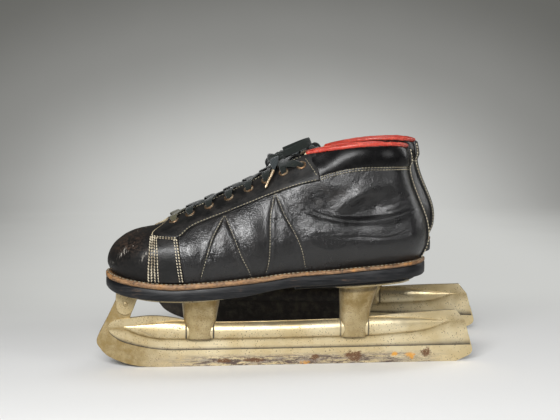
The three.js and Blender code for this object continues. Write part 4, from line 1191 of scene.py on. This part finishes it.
def collar_grid(rows, columns):
    """Places (q, t) of the collar's band, whose front edges slant, with u along it and v up it."""
    u = np.linspace(-1, 1, rows)[:, None]
    v = np.linspace(0, 1, columns)[None, :]
    q = u * collar_reach(v)
    t = mix(COLLAR_SEAM(HEEL - np.abs(q)), TOP - 0.04, v)
    return q, t, u + 0 * v, v + 0 * u


def make_collar(skate, m):
    """The padded collar: a crowned glossy band, full along its middle and sewn down along its lower edge."""
    q, t, u, v = collar_grid(260, 44)
    points, normals = round_heel_frame(q, t)
    ends = edge_round((1 - np.abs(u)) * 85 + 0.1, 5.0)
    crown = np.sin(math.pi * np.clip(v * 0.94 + 0.03, 0, 1)) ** 0.55
    soft = 0.14 * lumps(points, 17, skate.seed + 11) + 0.07 * lumps(points * (1, 1, 0.4), 5, skate.seed + 12)
    outer = raised(points, normals, 0.9 + (2.3 + soft) * crown * ends)
    inner = raised(points, normals, -1.3 - (3.0 + soft) * crown * ends)
    form = shell(outer, inner, creases=0.25 + 0 * u, rub=0.1 + 0 * u)
    band = build(skate, "collar", form, m["collar"], ["collar"], angle=75)
    qs = np.linspace(-COLLAR_REACH + 0.22, COLLAR_REACH - 0.22, 320)
    rows = []
    for shift in (-0.035, -0.105):
        ts = COLLAR_SEAM(HEEL - np.abs(qs)) + shift
        rows.append(seam(round_heel_frame, qs, ts, 0.45, length=2.1, gap=0.8, radius=0.4))
    for sign in (-1, 1):
        vs = np.linspace(0.05, 0.86, 30)
        front = sign * (collar_reach(vs) + 0.04)
        ts = mix(COLLAR_SEAM(np.full(30, 9.2)), TOP - 0.04, vs)
        rows.append(seam(round_heel_frame, front, ts, 2.4, length=1.8, gap=0.8, radius=0.34))
    build(skate, "collar_stitches", joined(rows), m["tan"])


def make_binding(skate, m):
    """The red bead along the collar's top edge, with a cream thread tip at each front end."""
    forms, tips = [], []
    for side in (LATERAL, MEDIAL):
        q = side * np.linspace(COLLAR_REACH - 0.02, 0.34, 150)
        girth = skate.medial_bead if side == MEDIAL else 1.0
        base = round_heel(q, np.full(150, TOP), 0.7) + (0, 0, 2.0 * girth - 0.8)
        base = base + 0.22 * lumps(base, 5, skate.seed + 21)[:, None] * (0.3, 0.6, 1)
        size = (1 + 0.07 * lumps(base, 3.2, skate.seed + 22)) * girth
        size = size * edge_round(np.linspace(0, 95, 150) + 0.8, 3.0)
        forms.append(sweep(base, (0, 1, 0), 2.1 * size, 1.95 * size, 16, 0.85))
        tip = base[0] + np.array([[-1.8, 0, -1.4], [-0.6, 0, -0.6], [1.4, 0, 0.2], [3.0, 0, 0.6]])
        wide, thick = np.array([[0.8, 1.5, 2.3, 2.35], [0.6, 1.3, 2.1, 2.15]])
        tips.append(sweep(tip, (0, 1, 0), wide, thick))
    build(skate, "collar_binding", joined(forms), m["red"], ["collar_binding"])
    build(skate, "binding_tips", joined(tips), m["piping"])


def under_backstay(t):
    """How far the back stay's underside stands out from the upper: it climbs over the collar."""
    return 0.2 + smooth(3.3, 3.55, t) * mix(3.0, 2.4, smooth(3.7, 4, t))


def make_backstay(skate, m):
    """The strip over the heel seam, up over the collar, with cream stitched edges."""
    v = np.linspace(0, 1, 120)[None, :]
    half = profile([[0, 0.42], [0.35, 0.34], [0.7, 0.40], [0.82, 0.46], [1, 0.44]])
    q = np.linspace(-1, 1, 30)[:, None] * half(v)
    t = mix(0.06, TOP, v)
    points, normals = round_heel_frame(q, t)
    low = under_backstay(t) + 0 * q
    high = low + (OVERLAY + 0.2) * edge_round(edge_distance(points) + 0.1, 1.0)
    form = overlay(points, normals, low - 0.8, high, 0.3)
    build(skate, "backstay", form, m["overlay"], ["backstay"], angle=60)
    rows = []
    vs = np.linspace(0.01, 0.985, 200)
    ts = mix(0.06, TOP, vs)
    for sign in (-1, 1):
        for inset, size in ((0.035, 0.5), (0.11, 0.36)):
            rows.append(seam(round_heel_frame, sign * (half(vs) - inset), ts,
                             under_backstay(ts) + OVERLAY + 0.05, length=2.4, gap=0.6, radius=size))
    build(skate, "backstay_stitches", joined(rows), m["cream"])


def make_lining(skate, m):
    """The boot's lining: inside both quarters, round the heel and up to the collar."""
    q = np.linspace(-HEEL + TOE_END + 0.3, HEEL - TOE_END - 0.3, 220)[:, None]
    v = np.linspace(0, 1, 40)[None, :]
    s = HEEL - np.abs(q)
    high = np.where(s < COLLAR_START, 3.62, TOP - 0.25)
    t = mix(0.34, mix(3.3, high, smooth(8.6, 9.6, s)), v)
    points, normals = round_heel_frame(q + 0 * t, t)
    x, z = points[..., 0], points[..., 2]
    dent = np.minimum(ankle(x, z), 0) * smooth(HEEL, HEEL - 0.7, s)
    inside = -5.0 + dent + 0.3 * lumps(points, 16, skate.seed + 31)
    form = shell(raised(points, normals, inside), raised(points, normals, inside - 1.3))
    build(skate, "lining", form, m["lining"], ["heel_counter"], angle=70)


def make_tongue(skate, m):
    """The tongue under the lacing, crowned across, with a stitched edge. It moves on its own flap body."""
    s = np.linspace(TOE_END + 0.2, COLLAR_START + 0.15, 120)[:, None]
    w = np.linspace(-1, 1, 60)[None, :]
    half = mix(14, 23, np.linspace(0, 1, 120)[:, None])
    corner = 1 - 0.16 * smooth(COLLAR_START - 0.3, COLLAR_START + 0.15, s) ** 2
    across = w * half * corner
    middle = ridge(s[:, 0])[:, None]
    top = middle + np.stack([0 * across, across, -4.6 - 0.018 * across**2], -1)
    top[..., 2] += 0.3 * lumps(top, 14, skate.seed + 41)
    round_edge = edge_round(edge_distance(top) + 0.2, 1.6)
    flat = 0 * (w + s)
    up = np.stack([flat, flat, flat + 1], -1)
    outer, inner = raised(top, up, 1.5 * round_edge - 1.5), raised(top, up, -1.5 * round_edge - 1.5)
    form = shell(outer, inner, creases=flat + 0.4, rub=flat + 0.3)
    flap = f"{skate.name}_tongue_flap"
    build(skate, "tongue", form, m["overlay"], ["tongue"], body=flap, angle=70)
    rows = []
    for column in (4, -4):
        edge = top[:, column]
        rows.append(stitches(edge, np.tile([0.0, 0, 1.0], (len(edge), 1)), 2.2, 0.9, 0.34))
    build(skate, "tongue_stitches", joined(rows), m["tan"], body=flap)


# ---- Sole -------------------------------------------------------------------
SOLE_BOTTOM = profile([[9, 79], [22, 74.6], [40, 71.8], [63, 70.3], [95, 70.6], [135, 73], [158, 77.2],
                       [178, 79.8], [216, 81], [248, 82.8], [285, 85.2], [309, 87]])
SOLE_TOP = profile([[9, 87.5], [35, 83.2], [69, 80.3], [95, 81.4], [149, 85.4], [182, 89.6], [216, 91],
                    [249, 93.8], [309, 98.5]])
WELT_TOP = profile([[9, 93], [35, 88], [69, 85.2], [95, 86.2], [145, 89.6], [177, 92.8], [216, 94.6],
                    [249, 97.2], [309, 102]])
OUTLINE_ROWS = 170
HEEL_LIFT_START = 11 / 18  # as a share of the outline's stations
HEEL_LIFT_INSET = 9


def heel_lift_bottom(x):
    return SOLE_BOTTOM(x) - GAP - HEEL_LIFT


def outline(out, first=0.0):
    """The sole's outline seen from above, standing out by out: along the lateral side, then back."""
    f = np.linspace(first, 1, OUTLINE_ROWS + 1)
    s = HEEL * (0.25 - 0.25 * np.cos(math.pi * f)) + HEEL * f / 2
    sides = []
    for side in (LATERAL, MEDIAL):
        points = upper_frame(side, s, np.zeros_like(s))[0]
        normals = upper_frame(side, s, np.full_like(s, 0.4))[1][:, :2]
        sides.append(points[:, :2] + unit(normals) * np.asarray(out, float)[..., None])
    back = sides[1][1:-1] if first == 0 else sides[1]
    return np.vstack([sides[0], back[::-1]])


def slab(rings):
    """A closed block through outlines of [x, y, z] points, its ends closed by strips across it."""
    rings = np.asarray(rings)
    form = loft(rings, caps=False)
    sides = rings.shape[1]
    last = sides if sides == 2 * OUTLINE_ROWS else sides - 1
    other = (last - np.arange(OUTLINE_ROWS + 1)) % sides
    for start, order in ((0, 1), ((len(rings) - 1) * sides, -1)):
        for i in range(OUTLINE_ROWS):
            loop = list(dict.fromkeys([i, i + 1, int(other[i + 1]), int(other[i])]))
            form.faces.append(tuple(start + k for k in loop[::order]))
    return form


def at_height(flat, z):
    return np.column_stack([flat, z(flat[:, 0])])


def make_sole(skate, m):
    """Outsole, welt, insole and heel lift, each built up from outlines."""
    def ring(out, z):
        flat = outline(out)
        wave = 0.22 * lumps(np.column_stack([flat, 0 * flat[:, 0]]), 11, skate.seed + 51)
        flat = flat + unit(flat - (160, 0)) * wave[:, None]
        return at_height(flat, z)

    edge = WELT_PROJECTION
    outsole = slab([
        ring(edge - 2.4, SOLE_BOTTOM),
        ring(edge - 0.9, lambda x: SOLE_BOTTOM(x) + 0.25),
        ring(edge - 0.15, lambda x: SOLE_BOTTOM(x) + 1.2),
        ring(edge, lambda x: mix(SOLE_BOTTOM(x), SOLE_TOP(x), 0.5)),
        ring(edge - 0.1, lambda x: SOLE_TOP(x) - 1.3),
        ring(edge - 0.7, lambda x: SOLE_TOP(x) - GAP),
    ])
    build(skate, "outsole", outsole, m["sole"], ["outsole"], angle=50)

    # The welt's section: how far out, how far up it, and how dirty.
    section = [(-9, 0.0, 0), (edge - 0.9, 0.0, 1), (edge - 0.1, 0.12, 0.6), (edge + 0.05, 0.45, 0.0),
               (edge - 0.05, 0.8, 0), (edge - 0.6, 0.97, 0.1), (edge - 2.2, 1.0, 0.0), (0.6, 1.0, 0.6),
               (-9, 1.0, 1)]
    rings = [ring(out, lambda x, f=f: mix(SOLE_TOP(x), WELT_TOP(x), f)) for out, f, _ in section]
    rings = np.array(rings + [rings[0]])
    form = loft(rings, caps=False)
    form.values["dirt"] = np.repeat([d for *_, d in section] + [0], rings.shape[1])
    build(skate, "welt", form, m["welt"], ["welt"], angle=50)
    flat = outline(edge - 1.9)
    line = at_height(np.vstack([flat, flat[:1]]), WELT_TOP)
    up = np.tile([0.0, 0, 1.0], (len(line), 1))
    build(skate, "welt_stitches", stitches(line, up, 3.0, 1.1, 0.42), m["tan"])

    inside = -3.4
    insole = slab([
        at_height(outline(inside - 0.5), lambda x: WELT_TOP(x) + GAP),
        at_height(outline(inside), lambda x: WELT_TOP(x) + 0.9),
        at_height(outline(inside), lambda x: WELT_TOP(x) + 2.9),
        at_height(outline(inside - 0.8), lambda x: WELT_TOP(x) + 3.6),
    ])
    build(skate, "insole", insole, m["insole"], ["insole"])

    out = WELT_PROJECTION - HEEL_LIFT_INSET
    lift = slab([
        at_height(outline(out - 0.6, HEEL_LIFT_START), heel_lift_bottom),
        at_height(outline(out, HEEL_LIFT_START), lambda x: heel_lift_bottom(x) + 0.5),
        at_height(outline(out, HEEL_LIFT_START), lambda x: SOLE_BOTTOM(x) - GAP),
    ])
    build(skate, "heel_lift", lift, m["sole"], ["heel_lift"])


# ---- Steel frame ------------------------------------------------------------
FLANGE_FOOT = profile([[10.5, 36], [12, 33], [15, 30], [23, 25], [38, 20.5], [53, 17.5], [72, 16], [352, 16]])
TUBE_TOP = profile([[10.5, 40.5], [12, 43], [18, 45.8], [31, 47.4], [51, 48.8], [72, 46.6], [92, 42.4],
                    [225, 43], [255, 45], [286, 47.4], [313, 49], [340, 50.3]])
CREASE_LOW = profile([[24, 37], [40, 30.5], [60, 26.6], [250, 26.4], [285, 28.4], [310, 31], [332, 38]])
CREASE_HIGH = profile([[24, 39], [49, 42], [72, 44], [92, 42.2], [225, 42.8], [260, 44.4], [300, 43],
                       [332, 39.4]])
TUBE_FRONT, TUBE_FULL, TUBE_BACK = 10.5, 24.0, 341.0
BULGE = profile([[24, FLANGE], [50, 5], [85, 8], [270, 8], [305, 5.4], [332, FLANGE]])
FIN_HALF = profile([[60, FLANGE], [90, 1], [230, 1], [275, FLANGE]])
REAR_END = profile([[16, 353.6], [26, 351.6], [35, 349.2], [42, 346.9], [48, 343], [50.3, 339]])
# Cups, from the rim down to the skirt round the tube, as (x, z, half-length, half-width, squareness).
FRONT_CUP = [(96.5, 69, 18.4, 18, 1), (96.3, 63, 17.8, 16, 1), (96, 56, 16.8, 13.9, 0.95),
             (95.6, 49, 15.8, 11.9, 0.85), (95.4, 43, 14.8, 10.3, 0.75), (95.2, 37, 13.6, 9.5, 0.62),
             (95, 31, 12.5, 9.25, 0.55), (95, 27.6, 11.8, 9.1, 0.5), (95, 26.9, 11.0, 8.6, 0.5)]
REAR_CUP = [(245, 76, 18.4, 18, 1), (244.6, 71, 17.8, 16.4, 1), (243.5, 63, 16.6, 14, 0.95),
            (242.4, 55, 15, 11.9, 0.9), (241.6, 47, 14.2, 10.3, 0.8), (241, 40, 13.6, 9.5, 0.62),
            (240.6, 33, 12.9, 9.25, 0.55), (240.3, 27, 12.0, 9.1, 0.5), (240.2, 26.3, 11.3, 8.6, 0.5)]
SKIRTS = ((95.2, 12.7), (240.6, 13.2))  # the middle and half-length of each cup's skirt round the tube


def grime_and_painted_shade(skate, points):
    """Painted shade: the inner side of the right skate's frame painted black, thick as far back as the rear
    cup, where the boots shade it.
    """
    x, y = points[..., 0], points[..., 1]
    much = 1.0 if skate.name == "right" else 0.0
    return much * smooth(-0.5, 0.5, y) * smooth(250, 218, x)


def flat_plate(shape, section):
    """A plate with eased edges from its (x, z) outline; section has each layer's y and its inset."""
    before, after = np.roll(shape, 1, axis=0), np.roll(shape, -1, axis=0)
    inward = unit(np.column_stack([-(after - before)[:, 1], (after - before)[:, 0]]))
    rings = []
    for y, inset in section:
        flat = shape + inward * inset
        rings.append(np.column_stack([flat[:, 0], np.full(len(flat), y), np.maximum(flat[:, 1], 0)]))
    return loft(rings)


def make_runner(skate, m):
    """The runner and its front stem: flat steel with eased edges."""
    top = SOLE_BOTTOM(STEM_BACK) - LIFT - PLATE - 2 * GAP
    front = curve([(STEM_FRONT, top), (10.3, 50), (1, 32), (-0.6, 25), (2.2, 19.5), (9, 12), (22, 5.5),
                   (38, 1.3), (58, 0)], 90)
    shape = np.vstack([
        front,
        [(x, 0) for x in np.linspace(62, 337, 60)],
        curve([(340, 0), (347, 2.8), (353.6, 6.2), (356, 10.5), (354.6, 17), (352, 26)], 26),
        [(x, 26) for x in np.linspace(345, 52, 40)],
        curve([(46, 26), (36.5, 28.6), (31.5, 35), (30.2, 47)], 14),
        [(32, 52), (35, 60), (STEM_BACK - 1, top)],
    ])
    keep = np.r_[True, np.linalg.norm(np.diff(shape, axis=0), axis=1) > 0.05]
    form = flat_plate(shape[keep], ((-1, 0.28), (-0.85, 0.07), (-0.6, 0), (0.6, 0), (0.85, 0.07), (1, 0.28)))
    # Painted shade: the right skate's inner side painted black. The front is stained.
    form.values = {"dirt": grime_and_painted_shade(skate, form.points), "stain": smooth(95, 25, form.points[:, 0])}
    build(skate, "runner", form, m["blade"], ["runner"], angle=35)


def tube_half(x, rows):
    """Half of the tube's section at stations x: (y, z) from the flange's foot up to its top."""
    high = np.minimum(CREASE_HIGH(x), TUBE_TOP(x) - 0.3)
    f = 0.5 - 0.5 * np.cos(math.pi * np.linspace(0, 1, rows))[None, :]
    base = mix(FLANGE, FIN_HALF(x)[:, None], f)
    y = mix(base, BULGE(x)[:, None], np.sin(math.pi * np.linspace(0, 1, rows))[None, :] ** 0.8)
    z = mix(CREASE_LOW(x)[:, None], high[:, None], f)
    foot = FLANGE_FOOT(x)[:, None] + np.array([[0, 0.35]])
    flat = mix(foot[:, 1:], z[:, :1], np.array([[0.33, 0.66]]))
    top = TUBE_TOP(x)[:, None]
    y = np.hstack([FLANGE - 0.4 + 0 * top, FLANGE + 0 * top, FLANGE + 0 * flat, y, FIN_HALF(x)[:, None]])
    return y, np.hstack([foot, flat, z, top])


def make_tube(skate, m):
    """The sheet-steel tube folded over the runner, flat at both ends and round between the cups."""
    nose = np.linspace(TUBE_FRONT, TUBE_FULL, 24, endpoint=False)
    x = np.concatenate([nose, np.linspace(TUBE_FULL, TUBE_BACK, 400)])
    y, z = tube_half(x, 24)
    cut = x[:, None] + 0 * y
    cut = cut + (REAR_END(z) - TUBE_BACK) * smooth(322, TUBE_BACK, cut)

    def over(half, high):
        """Both halves of the section as one row, over the top."""
        left, right = np.stack([cut, -half, high], -1), np.stack([cut, half, high], -1)
        return np.concatenate([left, right[:, ::-1]], axis=1)

    outer = over(y, z)
    shrunk = np.maximum(y - SHEET, 0.35)
    low = np.minimum(z, (TUBE_TOP(x) - SHEET)[:, None])
    inner = over(shrunk, low)
    dents = 0.12 * lumps(outer, 22, skate.seed + 61)
    outer[..., 1] += np.sign(outer[..., 1]) * dents * smooth(26, 31, outer[..., 2])
    px, pz = outer[..., 0], outer[..., 2]
    # A dark line along the flange's foot, and round each cup's skirt dark lines of seam dirt and painted
    # shade.
    dirt = smooth(0.9, 0.3, pz - FLANGE_FOOT(px))
    for cup, half in SKIRTS:
        around = np.abs(np.abs(px - cup) - half)
        dirt = dirt + smooth(1.0, 0.4, around) * smooth(26.5, 28, pz)
        dirt = dirt + 0.5 * smooth(1.6, 0.2, np.abs(pz - 26.2)) * smooth(half + 1, half - 2, np.abs(px - cup))
    # Painted shade: dark patches in the bulge's creases near its front.
    dirt = dirt + 0.75 * hill(px, pz, 41, 43.2, 9, 1.0, -0.1) + 0.5 * hill(px, pz, 48, 32, 11, 0.8, -0.5)
    stain = 0.7 * smooth(2.2, 0.3, np.abs(pz - CREASE_LOW(px) - 0.6))
    stain = stain + 0.6 * hill(px, pz, 303, 48, 26, 2.2, 0.05) + 0.5 * smooth(95, 30, px)
    # Painted shade: the right skate's inner side painted black.
    dirt = np.maximum(dirt, grime_and_painted_shade(skate, outer))
    form = shell(outer, inner, dirt=np.clip(dirt, 0, 1), stain=np.clip(stain, 0, 1))
    build(skate, "blade_tube", form, m["plate"], ["blade_tube"], angle=40)


def make_cup(skate, name, rings, underside, m):
    """A hollow cup from the sole plate down to the skirt that hugs the tube."""
    sides = 72
    turn = 2 * math.pi * (np.arange(sides) + 0.5) / sides
    fine = curve(np.array(rings, float), 46)

    def ring(x, z, length, width, square, wall_glow, i):
        c, s = squarish(turn, square)
        px = x + (length - wall_glow) * c
        height = np.where(i == 0, underside(px) - GAP, np.minimum(z, underside(px) - GAP - 0.6 * i))
        return np.column_stack([px, (width - wall_glow) * s, height])

    outside = [ring(*row, 0, i) for i, row in enumerate(fine)]
    inside = [ring(*row, SHEET, i) for i, row in enumerate(fine)]
    form = loft(outside + inside[::-1] + outside[:1], caps=False)
    z = form.points[:, 2]
    x = form.points[:, 0]
    foot = rings[-1][1]
    middle = rings[-2][0]
    # Darker along the skirt's foot and sides, seam dirt and painted shade where the cup meets the tube; the
    # rear cup is also darker in a band just under its top.
    side = np.abs(x - middle) - 12.6
    dirt = 0.9 * smooth(0.7, 0.1, z - foot) + 0.8 * smooth(-0.8, 0.4, side) * smooth(44, 38, z)
    rim = smooth(2.4, 0.8, np.abs(z - underside(x) + 4.5)) * (0.55 if name == "rear_cup" else 0.0)
    # Painted shade: the right skate's inner side painted black.
    dirt = np.maximum(dirt + rim, grime_and_painted_shade(skate, form.points))
    # Stained all over and more towards the top: tarnish and painted shade.
    form.values = {"dirt": np.clip(dirt, 0, 1), "stain": 0.75 + 0.25 * smooth(50, 62, z)}
    build(skate, name, form, m["plate"], [name], angle=50)


def aged(form, dirt, stain):
    """The form with its dirt and painted shade and its stain set, each a number or one value a point."""
    form.values = {"dirt": dirt + np.zeros(len(form.points)), "stain": stain + np.zeros(len(form.points))}
    return form


def plate_form(shape, top, rows=60, columns=26):
    """A sole plate from [x, half-width] points, with rounded edges below."""
    xs = np.linspace(shape[0][0], shape[-1][0], rows)
    half = profile(shape)(xs)[:, None]
    x = xs[:, None] + 0 * half
    w = np.linspace(-1, 1, columns)[None, :]
    upper = np.stack([x + 0 * w, w * half, top(x) + 0 * w], -1)
    lower = upper - (0, 0, PLATE)
    soft = edge_round(edge_distance(upper) + 0.3, 0.9)
    lower[..., 2] += 0.6 * (1 - soft)
    flat = 0 * (x + w)
    return shell(lower, upper, dirt=flat + 0.12, stain=flat + 0.3)


def toe_tab(y):
    """A lug of the toe plate, turned down beside the stem and riveted to it."""
    top = SOLE_BOTTOM(30) - LIFT - PLATE + 0.4
    turn = np.linspace(math.pi, 2 * math.pi - 0.35, 22)
    foot = np.column_stack([26 + 8.2 * np.cos(turn), 58.6 + 8.2 * np.sin(turn)])
    shape = np.vstack([[(18, top + 1.5), (17.6, 66)], foot, [(38, 67), (38.5, top - 0.6)]])
    half = PLATE / 2
    eased = ((0, 0.35), (0.25, 0.08), (0.5, 0))
    layers = [(y - half + deep, inset) for deep, inset in eased]
    layers += [(y + half - deep, inset) for deep, inset in reversed(eased)]
    form = flat_plate(shape, layers)
    # Painted shade: the medial lug dark all over, and each lug darker on its face against the stem.
    dirt = [1.0, 0.9, 0.6, 0.6, 0.9, 1.0] if y > 0 else [0.0, 0.1, 0.7, 0.8, 0.9, 1.0]
    return aged(form, 0.9 * np.repeat(dirt, len(shape)), 0.6)


def rivets(places, top):
    """Domed heads under a plate, at (x, y) places and at their mirror images."""
    both = [(x, side * y) for x, y in places for side in (1, -1)]
    heads = [dome(np.array([x, y, top(x) - PLATE + 0.1]), (0, 0, -1), 2.3, 1.2) for x, y in both]
    return aged(joined(heads), 0.1, 0.5)


def make_plates(skate, m):
    """The front sole plate with its two lugs, the heel plate, and the heads of their rivets."""
    def sole(x):
        return SOLE_BOTTOM(x) - LIFT

    def heel(x):
        return heel_lift_bottom(x) - LIFT

    front = plate_form([[17, 10], [32, 25], [55, 37], [80, 41], [105, 39], [128, 27], [142, 12]], sole)
    tab = RUNNER_HALF + GAP + PLATE / 2
    form = joined([front, toe_tab(-tab), toe_tab(tab)])
    build(skate, "front_sole_plate", form, m["plate"], ["front_sole_plate"], angle=40)
    spots = [(36, 18), (56, 29), (78, 34), (112, 27), (130, 14)]
    build(skate, "front_plate_rivets", rivets(spots, sole), m["plate"])
    back = plate_form([[222, 19], [232, 23], [262, 24.5], [282, 20], [292, 10]], heel)
    build(skate, "heel_plate", back, m["plate"], ["heel_plate"], angle=40)
    spots = [(230, 17), (266, 18), (282, 10)]
    build(skate, "heel_plate_rivets", rivets(spots, heel), m["plate"])
    lug = dome(np.array([26.5, -(tab + PLATE / 2 - 0.1), 60.5]), (0, -1, 0), 2.4, 0.7)
    build(skate, "toe_lug_rivet", aged(lug, 0.05, 0.7), m["plate"])


def make_frame(skate, m):
    make_runner(skate, m)
    make_tube(skate, m)
    make_cup(skate, "front_cup", FRONT_CUP, lambda x: SOLE_BOTTOM(x) - LIFT - PLATE, m)
    make_cup(skate, "rear_cup", REAR_CUP, lambda x: heel_lift_bottom(x) - LIFT - PLATE, m)
    make_plates(skate, m)


# ---- Stage and light --------------------------------------------------------
def make_stage():
    """A pale floor and a grey backdrop that meet in a wide curve."""
    depth, height, bend = 1.5, 2.6, 0.12
    turn = np.linspace(0, math.pi / 2, 16)
    section = [(-6.0, 0.0), (-1.0, 0.0), (0.0, 0.0), (1.0, 0.0)]
    section += [(depth - bend + bend * math.sin(a), bend - bend * math.cos(a)) for a in turn]
    section += [(depth, 0.4), (depth, 0.9), (depth, height)]
    across = np.linspace(-5, 5, 21)
    points = [(x, y, z) for y, z in section for x in across]
    n = len(across)
    faces = [(i * n + j, i * n + j + 1, (i + 1) * n + j + 1, (i + 1) * n + j)
             for i in range(len(section) - 1) for j in range(n - 1)]
    data = bpy.data.meshes.new("stage")
    data.from_pydata(points, [], faces)
    data.polygons.foreach_set("use_smooth", [True] * len(faces))
    data.materials.append(stage_paint())
    stage = bpy.data.objects.new("stage", data)
    bpy.context.scene.collection.objects.link(stage)


def make_light(name, place, target, size, power):
    data = bpy.data.lights.new(name, "AREA")
    data.shape = "RECTANGLE"
    data.size, data.size_y = size
    data.energy = power
    light = bpy.data.objects.new(name, data)
    light.location = place
    aim = Vector(target) - Vector(place)
    light.rotation_euler = aim.to_track_quat("-Z", "Y").to_euler()
    bpy.context.scene.collection.objects.link(light)


def make_lights():
    target = (0, 0, 0.08)
    make_light("front_key", (-0.35, -1.2, 0.64), target, (0.8, 0.28), 23)
    make_light("overhead", (0.05, -0.1, 1.2), target, (0.9, 0.3), 3.5)
    make_light("rear_right", (1.0, 0.3, 0.55), target, (0.25, 0.6), 2.2)
    make_light("heel_fill", (0.85, -0.95, 0.42), target, (0.3, 0.3), 2.0)
    world = bpy.data.worlds.new("studio")
    world.use_nodes = True
    world.node_tree.nodes["Background"].inputs["Color"].default_value = (0.9, 0.93, 1.0, 1)
    world.node_tree.nodes["Background"].inputs["Strength"].default_value = 0.05
    bpy.context.scene.world = world
    bpy.context.scene.view_settings.view_transform = "Standard"


# ---- Scene ------------------------------------------------------------------
skates = make_skates()
make_camera(skates[0])
materials = make_materials()
for skate in skates:
    for side_name in SIDES:
        make_loop(skate, side_name, materials)
        make_end(skate, side_name, materials)
for skate in skates:
    make_knot(skate, materials)
    make_lace(skate, materials)
    make_frame(skate, materials)
    make_sole(skate, materials)
    make_toe_cap(skate, materials)
    for side_name in SIDES:
        make_quarter(skate, side_name, materials)
        make_eyestay(skate, side_name, materials)
        make_toe_strap(skate, side_name, materials)
    make_collar(skate, materials)
    make_binding(skate, materials)
    make_backstay(skate, materials)
    make_lining(skate, materials)
    make_tongue(skate, materials)
make_stage()
make_lights()
